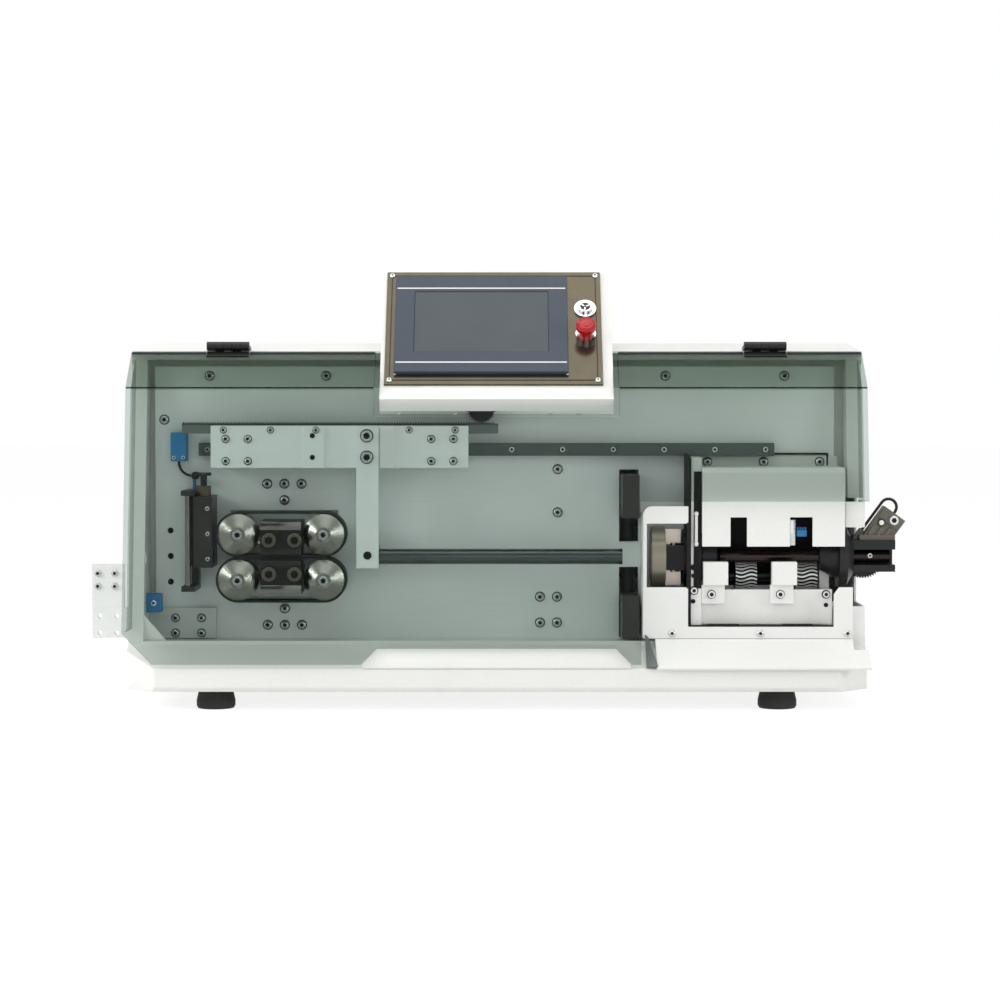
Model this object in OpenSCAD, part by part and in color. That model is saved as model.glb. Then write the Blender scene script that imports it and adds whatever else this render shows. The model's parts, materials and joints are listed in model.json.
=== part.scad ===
// Bench-top machine that feeds, cuts and strips cable behind a tinted cover.

/* [Cabinet] */
// Width of the cabinet and the cover
cabinet_w = 860; // [840:1:900]
// Depth from the cover's bottom edge to the back panel
cabinet_d = 390; // [380:1:430]
// Height of the hinge line above the floor
hinge_line_z = 414; // [412:1:420]
// Rise of the roof from the hinge line to the back
roof_rise = 11; // [6:1:16]
// Sheet-metal thickness
sheet = 2.5; // [2:0.1:3]
// Height of the rubber feet
foot_h = 22; // [18:1:28]
// Radius of a foot on the floor
foot_r = 22.5; // [18:0.5:26]
// Distance of the feet from the middle
foot_x = 326; // [280:1:340]
// Thickness of the mounting plate
plate_t = 12; // [8:1:14]
// Depth of the mounting plate's face behind the front
plate_d = 123; // [122:1:126]

/* [Cover] */
// Thickness of the tinted sheet
cover_t = 5; // [4:0.5:6]
// Height of the cover's bottom edge
cover_z = 54.6; // [54:0.1:58]
// Height of the fold between the front and the upper facet
fold_z = 371; // [366:1:374]
// Depth of the fold behind the bottom edge
fold_d = 52; // [48:1:54]
// Bottom edge of the short part of the cover over the head
cover_short_z = 240; // [238:1:250]
// Width of the notch around the console
notch_w = 284; // [282:1:300]

/* [Console] */
// Width of the console box
console_w = 272; // [268:1:276]
// Tilt of the console face from upright
console_tilt = 40; // [38:0.5:42]
// Length of the sloped console face
console_l = 213; // [208:1:216]
// Width of the panel bezel
bezel_w = 204; // [190:1:206]
// Height of the panel bezel
bezel_h = 150; // [140:1:152]

/* [Carriage] */
// Length of the linear rail
rail_l = 680; // [660:1:690]
// Width of the linear rail
rail_w = 15; // [15:1:16]
// Length of the carriage plate
carriage_w = 302; // [300:1:310]
// Tooth module of rack and pinion
tooth_m = 1; // [1:0.1:1.1]
// Teeth on the pinion
pinion_teeth = 32; // [30:1:34]
// Outside radius of the guide tube
tube_r = 9.2; // [8:0.1:9.4]

/* [Feeder] */
// Height of the wire axis
wire_z = 173; // [172:0.5:174]
// Depth of the wire axis behind the front
wire_d = 85; // [84:0.5:86]
// Distance between the two pulleys of a belt
pulley_gap = 100; // [96:1:104]
// Radius of the drum under a belt
drum_r = 23.7; // [22:0.1:24]
// Thickness of a belt
belt_t = 2.5; // [2:0.1:3]
// Width of a belt
belt_w = 30; // [26:1:32]

/* [Cutting head] */
// Outside radius of the gears on the lay shaft
gear_r = 18; // [16:0.5:18]
// Outside radius of the exit tube
exit_tube_r = 7.5; // [6:0.1:8]
// Travel of each jaw
jaw_travel = 44.5; // [40:0.5:44.5]

/* [Hidden] */
$fn = 48;
running = 0.05;
gap = 0.3;
seat = 0.1;
slit = 1;
flange_t = 2;
total_d = cabinet_d + flange_t;
function fy(d) = d - total_d / 2;
half_w = cabinet_w / 2;
base_top = 73;
sill_z = 49;
sill_d = 6;
frame_d = 58;
back_d = cabinet_d - sheet;
roof_z = hinge_line_z + roof_rise;
roof_flat_d = 246;
hinge_d = 106;
chamfer = 37;
cover_split_x = half_w - 264;
recess_w = cabinet_w - 36;
recess_z = 76;
recess_top = 404;
plate_x0 = 7 - recess_w / 2;
plate_x1 = recess_w / 2 - 12;
plate_top = 396;
plate_back = plate_d + plate_t;
ledge_in = 20;
cut_x = half_w - 35;
cut_z0 = 116;
cut_z1 = 242;
cover_lean = atan2(fold_d, fold_z - cover_z);
facet_lean = atan2(hinge_d - fold_d, hinge_line_z - fold_z);
facet_l = norm([hinge_d - fold_d, hinge_line_z - fold_z]);
cover_end = facet_l - 3;
notch_z = 338;
axis_d = hinge_d - 3;
axis_z = hinge_line_z + 6;
knuckle_r = 5;
pin_r = 2;
hinge_w = 50;
hinge_x = 316;
console_d = 49;
console_z = 358;
panel_x = -18;
bezel_z = 34;
screen_w = 158;
screen_h = 94;
screen_z = bezel_z + bezel_h / 2 - 44;
button_x = 105;
button_s = 135;
estop_s = 93;
button_r = 11;
estop_r = 12;
button_travel = 2.5;
estop_travel = 4;
collar_h = 6;
button_bore = 11;
estop_collar_h = 9;
rail_z = 298;
rail_h = 15;
rail_x0 = -352;
rail_pitch = 60;
rail_holes = floor((rail_l - 10) / rail_pitch);
block_h = 28;
block_d = plate_d - block_h;
carriage_t = 12;
carriage_d = block_d - carriage_t;
carriage_x = -335;
carriage_z0 = 277;
carriage_z1 = 326.5;
rack_x0 = -370;
rack_l = 372;
rack_t = 10;
pinion_r = tooth_m * pinion_teeth / 2;
pinion_x = -18;
pitch_z = 330;
arm_x = -164;
arm_w = 26;
arm_t = 12;
arm_z0 = 160;
arm_z1 = 324;
tube_x1 = half_w - 282.4;
tube_bore = 7;
wire_hole_r = 9;
feed_x = -302;
belt_r = drum_r + gap + belt_t;
feed_dz = belt_r + 0.25;
feed_lift = 12;
shaft_r = 8;
slide_t = 14;
window_x = 14;
slide_h = 26;
window_up = slide_h / 2 + feed_lift + slit;
window_down = slide_h / 2 + slit;
jaw_x0 = half_w - 283;
jaw_w = 20;
slot_x0 = jaw_x0 - 1.5;
slot_x1 = jaw_x0 + jaw_w + 1.5;
jaw_tip = jaw_travel + 1.1;
jaw_top = 96;
jaw_stem = 60;
slot_up = [wire_z + jaw_stem - jaw_travel - 0.5, wire_z + jaw_top + 5];
slot_down = [wire_z - jaw_top - 3, wire_z - jaw_stem + jaw_travel + 0.5];
jaw_front = 68;
motor_w = 57;
motor_l = 76;
rod_d = plate_back + 18;
rod_r = 8;
shroud_x0 = half_w - 260;
shroud_x1 = half_w - 208;
left_plate_x = half_w - 204;
right_plate_x = half_w - 50;
bearing_t = 12;
bearing_d = 52;
shroud_d = 42;
chute_z = 80;
module_x1 = right_plate_x + bearing_t - 1;
disc_x = half_w - 249;
disc_r = 36;
gear_xs = [half_w - 149, half_w - 78];
gear_w = 25;
lay_d = 102;
lay_z = 149;
lay_r = 6;
hub_x = half_w - 190;
hub_w = 18;
spindle_r = 16;
hub_r = 15;
drive_d = rod_d + rod_r + 5 + motor_w / 2 + 0.5;
drive_r = 12;
hood_x0 = left_plate_x + bearing_t + gap;
hood_x1 = half_w - 26;
hood_d = 48;
hood_top = 276;
hood_low = 187;
exit_x1 = half_w + 31;
exit_gear_x = half_w + 3;
flange_x = half_w - 31;
flange_r = 35.5;
eye_x = half_w + 24.3;
eye_z = wire_z + 59.7;
eye_lean = 36;
eye_l = 62;
eye_lead_r = 1.75;
eye_bend = 9.5;
eye_run = 39.2;
lead_x = plate_x0 + 29;
lead_d = plate_d - 8;
lead_r = 1.5;
lead_bend = 15.6;
lead_drop = 1.4;
sensor_z = 284;
gland_r = 4.5;
inlet_t = 8;
inlet_z = 74;
inlet_h = 36;
inlet_x0 = -half_w - 50;
inlet_x1 = plate_x0 + 72;

// Places children at x, at a depth behind the front, and at a height
module at(x, d, z) {
    translate([x, fy(d), z]) children();
}

// A box from its low corner, with the depth measured from the front
module block(x, d, z, size) {
    at(x, d, z) cube(size);
}

// A cylinder that runs back from the front
module rod_y(r, h) {
    rotate([-90, 0, 0]) cylinder(r = r, h = h);
}

// A cylinder that runs to the right
module rod_x(r, h) {
    rotate([0, 90, 0]) cylinder(r = r, h = h);
}

// A side profile of depth and height points, extruded across the width
module across(x0, x1, points) {
    translate([x0, 0, 0]) rotate([90, 0, 90])
        linear_extrude(x1 - x0) polygon([for (p = points) [fy(p[0]), p[1]]]);
}

// A button-head screw whose seat is at the origin and whose head faces the front
module screw(r, h) {
    difference() {
        translate([0, -h, 0]) rod_y(r, h);
        translate([0, -h - slit, 0]) rod_y(r * 0.45, h * 0.6 + slit, $fn = 6);
    }
}

// Places children in the plane of the console face, x across and z up the slope
module on_console() {
    at(0, console_d, console_z) rotate([-console_tilt, 0, 0]) children();
}

// Base and cabinet

module base_outline(inset) {
    polygon([
        [-half_w + inset, fy(back_d)], [-half_w + inset, fy(sill_d + chamfer)],
        [-half_w + chamfer + inset * 0.4, fy(sill_d) + inset],
        [half_w - chamfer - inset * 0.4, fy(sill_d) + inset],
        [half_w - inset, fy(sill_d + chamfer)], [half_w - inset, fy(back_d)]
    ]);
}

module base_tray() {
    color("white") difference() {
        intersection() {
            translate([0, 0, foot_h]) linear_extrude(base_top - foot_h) base_outline(0);
            across(-half_w, half_w, [
                [sill_d + 4, foot_h], [sill_d, foot_h + 5], [sill_d, sill_z],
                [frame_d, base_top], [back_d, base_top], [back_d, foot_h]
            ]);
        }
        intersection() {
            translate([0, 0, foot_h + sheet]) linear_extrude(base_top) base_outline(sheet * 2);
            across(-half_w, half_w, [
                [sill_d + sheet * 2, foot_h], [sill_d + sheet * 2, sill_z - sheet],
                [frame_d + sheet * 2, base_top - sheet], [plate_back + 2 * sheet, base_top - sheet],
                [plate_back + 2 * sheet, base_top + 1], [back_d - sheet, base_top + 1],
                [back_d - sheet, foot_h]
            ]);
        }
    }
}

module feet() {
    color("black") for (x = [-foot_x, foot_x], d = [sill_d + 40, back_d - 40])
        at(x, d, 0) difference() {
            union() {
                cylinder(r1 = foot_r - 1.5, r2 = foot_r, h = 3);
                translate([0, 0, 3]) cylinder(r = foot_r, h = 6);
                translate([0, 0, 9]) cylinder(r1 = foot_r, r2 = foot_r - 3, h = foot_h - 9);
            }
            translate([0, 0, -slit]) cylinder(r = 8, h = 8);
        }
}

function cabinet_side(in) = [
    [frame_d + in, base_top], [plate_d - 13 + in, recess_top - 6],
    [hinge_d + in * 1.2, hinge_line_z - in],
    [roof_flat_d, roof_z - in], [back_d - in, roof_z - in], [back_d - in, base_top]
];

// The whole sheet-metal shell, before its left panel and jamb are parted from it
module shell() {
    difference() {
        union() {
            difference() {
                across(-half_w, half_w, cabinet_side(0));
                translate([0, 0, -0.01]) across(-half_w + sheet, half_w - sheet, cabinet_side(sheet));
                block(-half_w + 20, back_d - 10, base_top + 20,
                    [cabinet_w - 40, 20, roof_z - base_top - 40]);
            }
            intersection() {
                across(-half_w + sheet, half_w - sheet, cabinet_side(sheet / 2));
                difference() {
                    block(-recess_w / 2 - sheet, 0, base_top,
                        [recess_w + 2 * sheet, plate_back + sheet, recess_top + sheet - base_top]);
                    block(-recess_w / 2, -1, base_top - 1,
                        [recess_w, plate_back + 1, recess_top - base_top + 1]);
                    block(plate_x0 + ledge_in, 0, base_top + ledge_in, [plate_x1 - plate_x0 - 2 * ledge_in,
                        plate_back + 10, plate_top - base_top - 2 * ledge_in]);
                }
            }
        }
        block(-recess_w / 2, 0, recess_z, [recess_w, plate_d, recess_top - recess_z]);
        block(cut_x, 0, cut_z0, [half_w, plate_back + 5, cut_z1 - cut_z0]);
        block(-half_w - 1, plate_d - inlet_t - gap, inlet_z - gap,
            [half_w + plate_x0 + 2, inlet_t + gap + 0.2, inlet_h + 2 * gap]);
        block(slot_x0, plate_d, slot_down[0], [slot_x1 - slot_x0, 40, slot_down[1] - slot_down[0]]);
        at(-half_w - 1, wire_d, wire_z) rod_x(wire_hole_r, half_w - recess_w / 2 + 2);
    }
}

module left_panel() {
    color("white") intersection() {
        shell();
        panel_room();
    }
}

module left_jamb() {
    color("white") intersection() {
        shell();
        jamb_room();
    }
}

module housing() {
    color("white") difference() {
        shell();
        panel_room();
        jamb_room();
    }
}

// Room of the flat panel that closes the left side
module panel_room() {
    block(-half_w - 1, 0, 0, [sheet + 1, cabinet_d, roof_z + 1]);
}

// Room of the front strip and recess wall beside the left panel
module jamb_room() {
    block(-half_w + sheet, 0, 0, [half_w - recess_w / 2 - sheet, plate_d, recess_top - 6]);
}

module mounting_plate() {
    color("gainsboro") difference() {
        block(plate_x0, plate_d, base_top, [plate_x1 - plate_x0, plate_t, plate_top - base_top]);
        for (side = [-1, 1]) feed_window(side);
        for (z = [slot_up, slot_down])
            block(slot_x0, plate_d - 1, z[0], [slot_x1 - slot_x0, plate_t + 2, z[1] - z[0]]);
        at(pinion_x, plate_d - 1, pitch_z + pinion_r) rod_y(shaft_r + gap, plate_t + 2);
        belt_window();
        for (z = [-30.5, 0, 30.5])
            at(-387.4, plate_d - 1, wire_z - 2 + z) rod_y(3.7, plate_t + 2);
        block(cut_x, plate_d - 1, cut_z0, [plate_x1 - cut_x + 1, plate_t + 2, cut_z1 - cut_z0]);
    }
}

// The opening behind one feed unit, for its shafts and its travel away from the wire
module feed_window(side) {
    z = wire_z + side * feed_dz;
    low = side > 0 ? window_down : window_up;
    block(feed_x - window_x, plate_d - 1, z - low,
        [pulley_gap + 2 * window_x, plate_t + 2, window_up + window_down]);
}

module back_panel() {
    color("white") difference() {
        block(-half_w + 8, back_d, base_top + 8, [cabinet_w - 16, sheet, roof_z - base_top - 16]);
        for (x = [-1, 1], i = [0 : 11])
            block(x * 250 - 60, back_d - 1, base_top + 80 + i * 14, [120, sheet + 2, 5]);
        block(-320, back_d - 1, base_top + 30, [48, sheet + 2, 28]);
    }
}

// The opening that the head belt runs back through
module belt_window() {
    block(hub_x - 2, plate_d - 1, wire_z - hub_r - 10, [hub_w + 4, plate_t + 2, 2 * hub_r + 20]);
}

module chute() {
    tab_d = shroud_d + sheet + gap;
    color("white") difference() {
        across(shroud_x0 + 14, half_w, [
            [0, cover_z - 4], [shroud_d, chute_z], [tab_d, chute_z], [tab_d, chute_z + 13],
            [tab_d + sheet, chute_z + 13], [tab_d + sheet, chute_z - sheet], [shroud_d, chute_z - sheet],
            [1, cover_z - 4 - sheet]
        ]);
        translate([half_w - chamfer, fy(-1), 0]) rotate([0, 0, -45])
            translate([0, -60, 0]) cube([80, 60, 200]);
        block(half_w - 17, shroud_d - 16, 60, [60, 40, 40]);
    }
}

// Cover and its hinges

// Depth and height of a point on the cover, up its front and facet, at a depth into the sheet
function cover_point(d, z, along, in) = [d + along * sin(facet_lean) + in * cos(facet_lean),
    z + along * cos(facet_lean) - in * sin(facet_lean)];
function front_d(z) = fold_d * (z - cover_z) / (fold_z - cover_z);

// The bent sheet's profile, from the bottom edge over the fold to the hinge
module cover_sheet(x0, x1) {
    mitre = cover_t / cos((facet_lean - cover_lean) / 2);
    turn = (facet_lean + cover_lean) / 2;
    across(x0, x1, [
        [0, cover_z], [fold_d, fold_z], cover_point(fold_d, fold_z, cover_end, 0),
        cover_point(fold_d, fold_z, cover_end, cover_t),
        [fold_d + mitre * cos(turn), fold_z - mitre * sin(turn)], [cover_t / cos(cover_lean), cover_z]
    ]);
}

module cover_side(x, low) {
    in = cover_t / 2;
    across(x, x + cover_t, [
        [front_d(low) + in, low], [fold_d + in, fold_z - in], cover_point(fold_d, fold_z, cover_end, in),
        [hinge_d - 2, hinge_line_z - 10], [plate_d - 14.5, recess_top - 6],
        [frame_d - 1.5 + (low - base_top) * (plate_d - 13 - frame_d) / (recess_top - 6 - base_top), low]
    ]);
}

module cover() {
    grip_w = 310;
    grip_h = 18;
    corner = 35;
    color([0.45, 0.5, 0.47, 0.5]) {
        difference() {
            cover_sheet(-half_w, half_w);
            block(-notch_w / 2, -1, notch_z, [notch_w, hinge_d + 10, hinge_line_z]);
            block(cover_split_x, -1, 0, [half_w, hinge_d + 10, cover_short_z]);
            translate([0, fy(hinge_d), 0]) rotate([90, 0, 0]) linear_extrude(hinge_d + 1) {
                polygon([[-half_w - 1, 0], [-half_w - 1, cover_z + corner + 1],
                    [-half_w + corner + 1, cover_z - 1], [-half_w + corner + 1, 0]]);
                polygon([[-grip_w / 2 - 1, cover_z - 1], [-grip_w / 2 + grip_h, cover_z + grip_h],
                    [grip_w / 2 - grip_h, cover_z + grip_h], [grip_w / 2 + 1, cover_z - 1]]);
            }
        }
        cover_side(-half_w, cover_z + corner + 1);
        cover_side(half_w - cover_t, cover_short_z);
    }
}

// Knuckles of one leaf: every second fifth of the hinge's width
module knuckles(first) {
    pitch = hinge_w / 5;
    for (i = [first : 2 : 4])
        at(i * pitch + gap / 2 - hinge_w / 2, axis_d, axis_z) difference() {
            rod_x(knuckle_r, pitch - gap);
            translate([-1, 0, 0]) rod_x(pin_r + running, pitch + 2);
        }
}

module hinge_leaves_cover() {
    color("black") for (x = [-hinge_x, hinge_x]) translate([x, 0, 0]) {
        knuckles(1);
        for (i = [1, 3])
            at(i * hinge_w / 5 + gap / 2 - hinge_w / 2, fold_d, fold_z) rotate([-facet_lean, 0, 0])
                translate([0, -2.5, cover_end - 2]) cube([hinge_w / 5 - gap, 2, 6]);
        at(-hinge_w / 2, fold_d, fold_z) rotate([-facet_lean, 0, 0])
            translate([0, -2, cover_end - 9]) cube([hinge_w, 2, 9]);
    }
}

module hinge_leaves_cabinet() {
    leaf_d = axis_d + knuckle_r + 0.6;
    color("black") for (x = [-hinge_x, hinge_x]) translate([x, 0, 0]) {
        knuckles(0);
        at(-hinge_w / 2, axis_d, axis_z) rod_x(pin_r, hinge_w);
        across(-hinge_w / 2, hinge_w / 2, [
            [leaf_d, roof_at(leaf_d) + seat], [axis_d + 26, roof_at(axis_d + 26) + seat],
            [axis_d + 26, roof_at(axis_d + 26) + 2], [leaf_d, axis_z + 1]
        ]);
        for (i = [0, 2, 4])
            block(i * hinge_w / 5 + gap / 2 - hinge_w / 2, axis_d + pin_r + 1, axis_z - 3,
                [hinge_w / 5 - gap, knuckle_r, 4]);
    }
}

// Height of the sloped part of the roof at a depth
function roof_at(d) = hinge_line_z + roof_rise * (d - hinge_d) / (roof_flat_d - hinge_d);

// Console

module console_box() {
    t = console_tilt;
    top_d = console_d + console_l * sin(t);
    top_z = console_z + console_l * cos(t);
    back = 30;
    color("white") difference() {
        across(-console_w / 2, console_w / 2, [
            [console_d, console_z], [top_d, top_z], [top_d + back * cos(t), top_z - back * sin(t)],
            [top_d + back * cos(t), roof_at(top_d + back * cos(t)) + gap],
            [hinge_d - 0.5, hinge_line_z + gap], [hinge_d - 3, hinge_line_z - 14],
            [console_d + 22 * cos(t), console_z - 22 * sin(t)]
        ]);
        on_console() translate([button_x, -1, button_s]) rod_y(button_r - 2, button_bore + 1);
        on_console() translate([button_x, -1, estop_s]) rod_y(button_r - 2, button_bore + 1);
    }
}

module console_plate() {
    color("dimgray") on_console() difference() {
        translate([-131, -3, 20]) cube([255, 3, 175]);
        for (z = [button_s, estop_s]) translate([button_x, -4, z]) rod_y(button_r - 2, 6);
    }
}

module panel_bezel() {
    color("slategray") on_console() difference() {
        translate([panel_x - bezel_w / 2, -9, bezel_z]) cube([bezel_w, 6, bezel_h]);
        translate([panel_x - screen_w / 2, -10, screen_z]) cube([screen_w, 3, screen_h]);
    }
}

module panel_screen() {
    color("dimgray") on_console()
        translate([panel_x - screen_w / 2 + gap, -8, screen_z + gap])
            cube([screen_w - 2 * gap, 1, screen_h - 2 * gap]);
}

module button_collars() {
    color("silver") on_console() {
        translate([button_x, -collar_h, button_s]) difference() {
            rod_y(button_r + 2, collar_h - 3);
            translate([0, -1, 0]) rod_y(button_r - 2, 5);
        }
        translate([button_x, -estop_collar_h, estop_s]) difference() {
            rod_y(button_r + 1, estop_collar_h - 3);
            translate([0, -1, 0]) rod_y(button_r - 2, 8);
        }
    }
}

module power_button() {
    color("silver") on_console() translate([button_x, -collar_h - button_travel, button_s])
        rod_y(button_r - 2 - running, collar_h + button_bore - 0.5);
}

module estop_button() {
    color("red") on_console() translate([button_x, -estop_collar_h - estop_travel - 11, estop_s]) {
        rod_y(estop_r, 5);
        translate([0, 5, 0]) rotate([-90, 0, 0]) cylinder(r1 = estop_r, r2 = estop_r - 2, h = 5);
        translate([0, 10, 0]) rod_y(button_r - 2 - running, estop_collar_h + button_bore);
    }
}

// Carriage

module linear_rail() {
    color("gray") difference() {
        block(rail_x0, plate_d - rail_h, rail_z - rail_w / 2, [rail_l, rail_h, rail_w]);
        for (z = [-1, 1])
            at(rail_x0 - 1, plate_d - rail_h / 2 - 1, rail_z + z * (rail_w / 2 + 1)) rotate([45, 0, 0])
                translate([0, -2, -2]) cube([rail_l + 2, 4, 4]);
        for (i = [0 : rail_holes])
            at(rail_x0 + 10 + i * rail_pitch, plate_d - rail_h - 1, rail_z) rod_y(3.75, 6);
    }
}

module runner_blocks() {
    color("darkgray") for (x = [carriage_x, carriage_x + carriage_w - 61]) difference() {
        block(x, block_d, rail_z - 17, [61, block_h - 4, 34]);
        block(x - 1, plate_d - rail_h - gap, rail_z - rail_w / 2 - gap, [63, rail_h + 1, rail_w + 2 * gap]);
    }
}

module carriage_plate() {
    color("lightgray") {
        block(carriage_x, carriage_d, carriage_z0, [carriage_w, carriage_t, carriage_z1 - carriage_z0]);
        block(carriage_x + 108, carriage_d - 3, carriage_z0, [25, 3, carriage_z1 - carriage_z0]);
        block(arm_x + arm_w + 1, carriage_d - 3, carriage_z0, [17, 3, carriage_z1 - carriage_z0]);
    }
}

tooth_pitch = PI * tooth_m;
tooth_top = tooth_m * 0.55;
tooth_root = tooth_m * 2.1;

module rack() {
    teeth = floor(rack_l / tooth_pitch) - 1;
    first = ceil((rack_x0 - pinion_x) / tooth_pitch);
    low = pitch_z - 1.25 * tooth_m;
    color("gray") translate([0, fy(block_d + rack_t), 0]) rotate([90, 0, 0]) linear_extrude(rack_t)
        polygon(concat(
            [[rack_x0, 317], [rack_x0, low]],
            [for (i = [0 : teeth - 1], p = [[-tooth_root, low], [-tooth_top, pitch_z + tooth_m],
                [tooth_top, pitch_z + tooth_m], [tooth_root, low]])
                [pinion_x + (first + i + 0.5) * tooth_pitch + p[0] / 2, p[1]]],
            [[rack_x0 + rack_l, low], [rack_x0 + rack_l, 317]]
        ));
}

// Outline of a toothed wheel with one tooth pointing down
module gear_outline(teeth, m) {
    r = teeth * m / 2;
    polygon([for (i = [0 : teeth - 1], p = [[-m * 2.1, r - 1.25 * m], [-m * 0.55, r + m],
        [m * 0.55, r + m], [m * 2.1, r - 1.25 * m]])
        let (a = i * 360 / teeth - 90 + p[0] / 2 / p[1] * 180 / PI) p[1] * [cos(a), sin(a)]]);
}

module pinion() {
    color("dimgray") at(pinion_x, block_d, pitch_z + pinion_r) {
        translate([0, rack_t, 0]) rotate([90, 0, 0]) linear_extrude(rack_t)
            gear_outline(pinion_teeth, tooth_m);
        rod_y(shaft_r - 1, plate_back - block_d);
    }
}

module hanging_arm() {
    color("lightgray") difference() {
        block(arm_x, carriage_d - arm_t, arm_z0, [arm_w, arm_t, arm_z1 - arm_z0]);
        at(arm_x + arm_w / 2, carriage_d - arm_t - 1, wire_z) rod_y(2.5, 4);
        at(arm_x - 1, wire_d, wire_z) rod_x(tube_r + gap, arm_w + 2);
    }
}

module tube_holder() {
    color("dimgray") difference() {
        block(arm_x, carriage_d, wire_z - 14, [arm_w, 2 * (wire_d - carriage_d) + 12, 28]);
        at(arm_x - 1, wire_d, wire_z) rod_x(tube_bore, arm_w + 2);
        at(arm_x + 8, wire_d, wire_z) rod_x(tube_r + running, arm_w);
    }
}

module guide_tube() {
    color([0.1, 0.1, 0.1]) at(arm_x + 8, wire_d, wire_z) difference() {
        rod_x(tube_r, tube_x1 - arm_x - 8);
        translate([-1, 0, 0]) rod_x(tube_bore, tube_x1 - arm_x);
    }
}

// A stepper motor whose face is at the origin and whose body runs back
module motor() {
    difference() {
        translate([-motor_w / 2, 0, -motor_w / 2]) cube([motor_w, motor_l, motor_w]);
        for (x = [-1, 1], z = [-1, 1])
            translate([x * motor_w / 2, -1, z * motor_w / 2]) rod_y(6, motor_l - 10);
    }
}

module fixed_motors() {
    color([0.15, 0.15, 0.15]) {
        at(pinion_x, plate_back + gap, pitch_z + pinion_r) motor();
        at(hub_x - 6, drive_d, wire_z) rotate([0, 0, 90]) motor();
        at(hub_x - 6 - gap, drive_d, wire_z) rod_x(5, hub_w + 8);
        at(hub_x, drive_d, wire_z) rod_x(drive_r, hub_w);
        block(hub_x - 6 - 20, plate_back, wire_z - 28, [12, drive_d - plate_back - motor_w / 2, 56]);
    }
}

// Belt feeder

module feed_slide(side) {
    z = wire_z + side * feed_dz;
    back = plate_back + gap;
    half = 24;
    shutter = 16;
    low = side > 0 ? slide_h / 2 : slide_h / 2 + shutter;
    color([0.2, 0.2, 0.22]) difference() {
        union() {
            block(feed_x - half, back, z - low, [pulley_gap + 2 * half, slide_t, slide_h + shutter]);
            block(feed_x + 28, plate_d - 1, z - 12, [pulley_gap - 56, plate_t + 3, 24]);
            block(feed_x + 26, 64, z - 15.5, [pulley_gap - 52, plate_d - gap - 64, 31]);
        }
        for (x = [feed_x, feed_x + pulley_gap]) at(x, back - 1, z) rod_y(shaft_r + running, slide_t + 2);
        for (x = [feed_x - half - 1, feed_x + pulley_gap + half - 5])
            block(x, back + 5 - gap, z - 40, [6, 4 + 2 * gap, 80]);
    }
}

module feed_slide_upper() { feed_slide(1); }
module feed_slide_lower() { feed_slide(-1); }

module feed_guides() {
    color("silver") for (side = [-1, 1]) {
        x = side < 0 ? feed_x - 24 - gap - 12 : feed_x + pulley_gap + 24 + gap;
        rib = side < 0 ? x + 12 : x - 5;
        block(x, plate_back, wire_z - 66, [12, slide_t + gap, 132]);
        block(rib, plate_back + gap + 5, wire_z - 66, [5, 4, 132]);
    }
}

module stadium(r, l) {
    translate([0, -r]) square([l, 2 * r]);
    for (x = [0, l]) translate([x, 0]) circle(r);
}

module feed_belt(side) {
    color([0.08, 0.08, 0.08]) at(feed_x, wire_d + belt_w / 2, wire_z + side * feed_dz) rotate([90, 0, 0])
        linear_extrude(belt_w) difference() {
            stadium(belt_r, pulley_gap);
            stadium(drum_r + gap, pulley_gap);
        }
}

module feed_belt_upper() { feed_belt(1); }
module feed_belt_lower() { feed_belt(-1); }

module pulley(x, side) {
    face = 11;
    color("silver") at(x, wire_d - belt_w / 2 - face, wire_z + side * feed_dz) difference() {
        union() {
            rotate([-90, 0, 0]) cylinder(r1 = 9, r2 = drum_r, h = face);
            translate([0, face, 0]) rod_y(drum_r, belt_w);
            rod_y(shaft_r, plate_back + gap + slide_t - wire_d + belt_w / 2 + face);
        }
        translate([0, -1, 0]) rod_y(4, 6, $fn = 6);
    }
}

module pulley_upper_left() { pulley(feed_x, 1); }
module pulley_upper_right() { pulley(feed_x + pulley_gap, 1); }
module pulley_lower_left() { pulley(feed_x, -1); }
module pulley_lower_right() { pulley(feed_x + pulley_gap, -1); }

module feed_motor(x, side) {
    color([0.15, 0.15, 0.15]) at(x, plate_back + gap + slide_t, wire_z + side * feed_dz) motor();
}

module feed_motor_upper() { feed_motor(feed_x + pulley_gap, 1); }
module feed_motor_lower() { feed_motor(feed_x, -1); }

// Button-head screws on the mounting plate, as x and height
module plate_screws() {
    middle = feed_x + pulley_gap / 2;
    tee = [for (s = [-1, 1], p = [[-20.3, 84], [0, 84], [20.3, 84], [0, 60]])
        [middle + p[0], wire_z + s * p[1]]];
    rim = [for (x = [-340, -202, 200, 341]) [x, plate_top - 11]];
    loose = [[72.4, 274.3], [72.4, 223], [51.6, 122.5], [71.8, 122.5], [51.6, 91.7], [71.8, 91.7],
        [-394, 333]];
    color("silver") for (p = concat(tee, rim, loose)) at(p[0], plate_d, p[1]) screw(5.2, 3);
}

// Inlet

module inlet_plate() {
    color("lightgray") difference() {
        union() {
            block(inlet_x0, plate_d - inlet_t, inlet_z, [inlet_x1 - inlet_x0, inlet_t, inlet_h]);
            block(inlet_x0, plate_d - inlet_t, inlet_z, [38, inlet_t, 88]);
        }
        for (x = [9, 29], z = [6, 26])
            at(inlet_x0 + x, plate_d - inlet_t - 1, inlet_z + z) rod_y(2.75, inlet_t + 2);
    }
}

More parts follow.
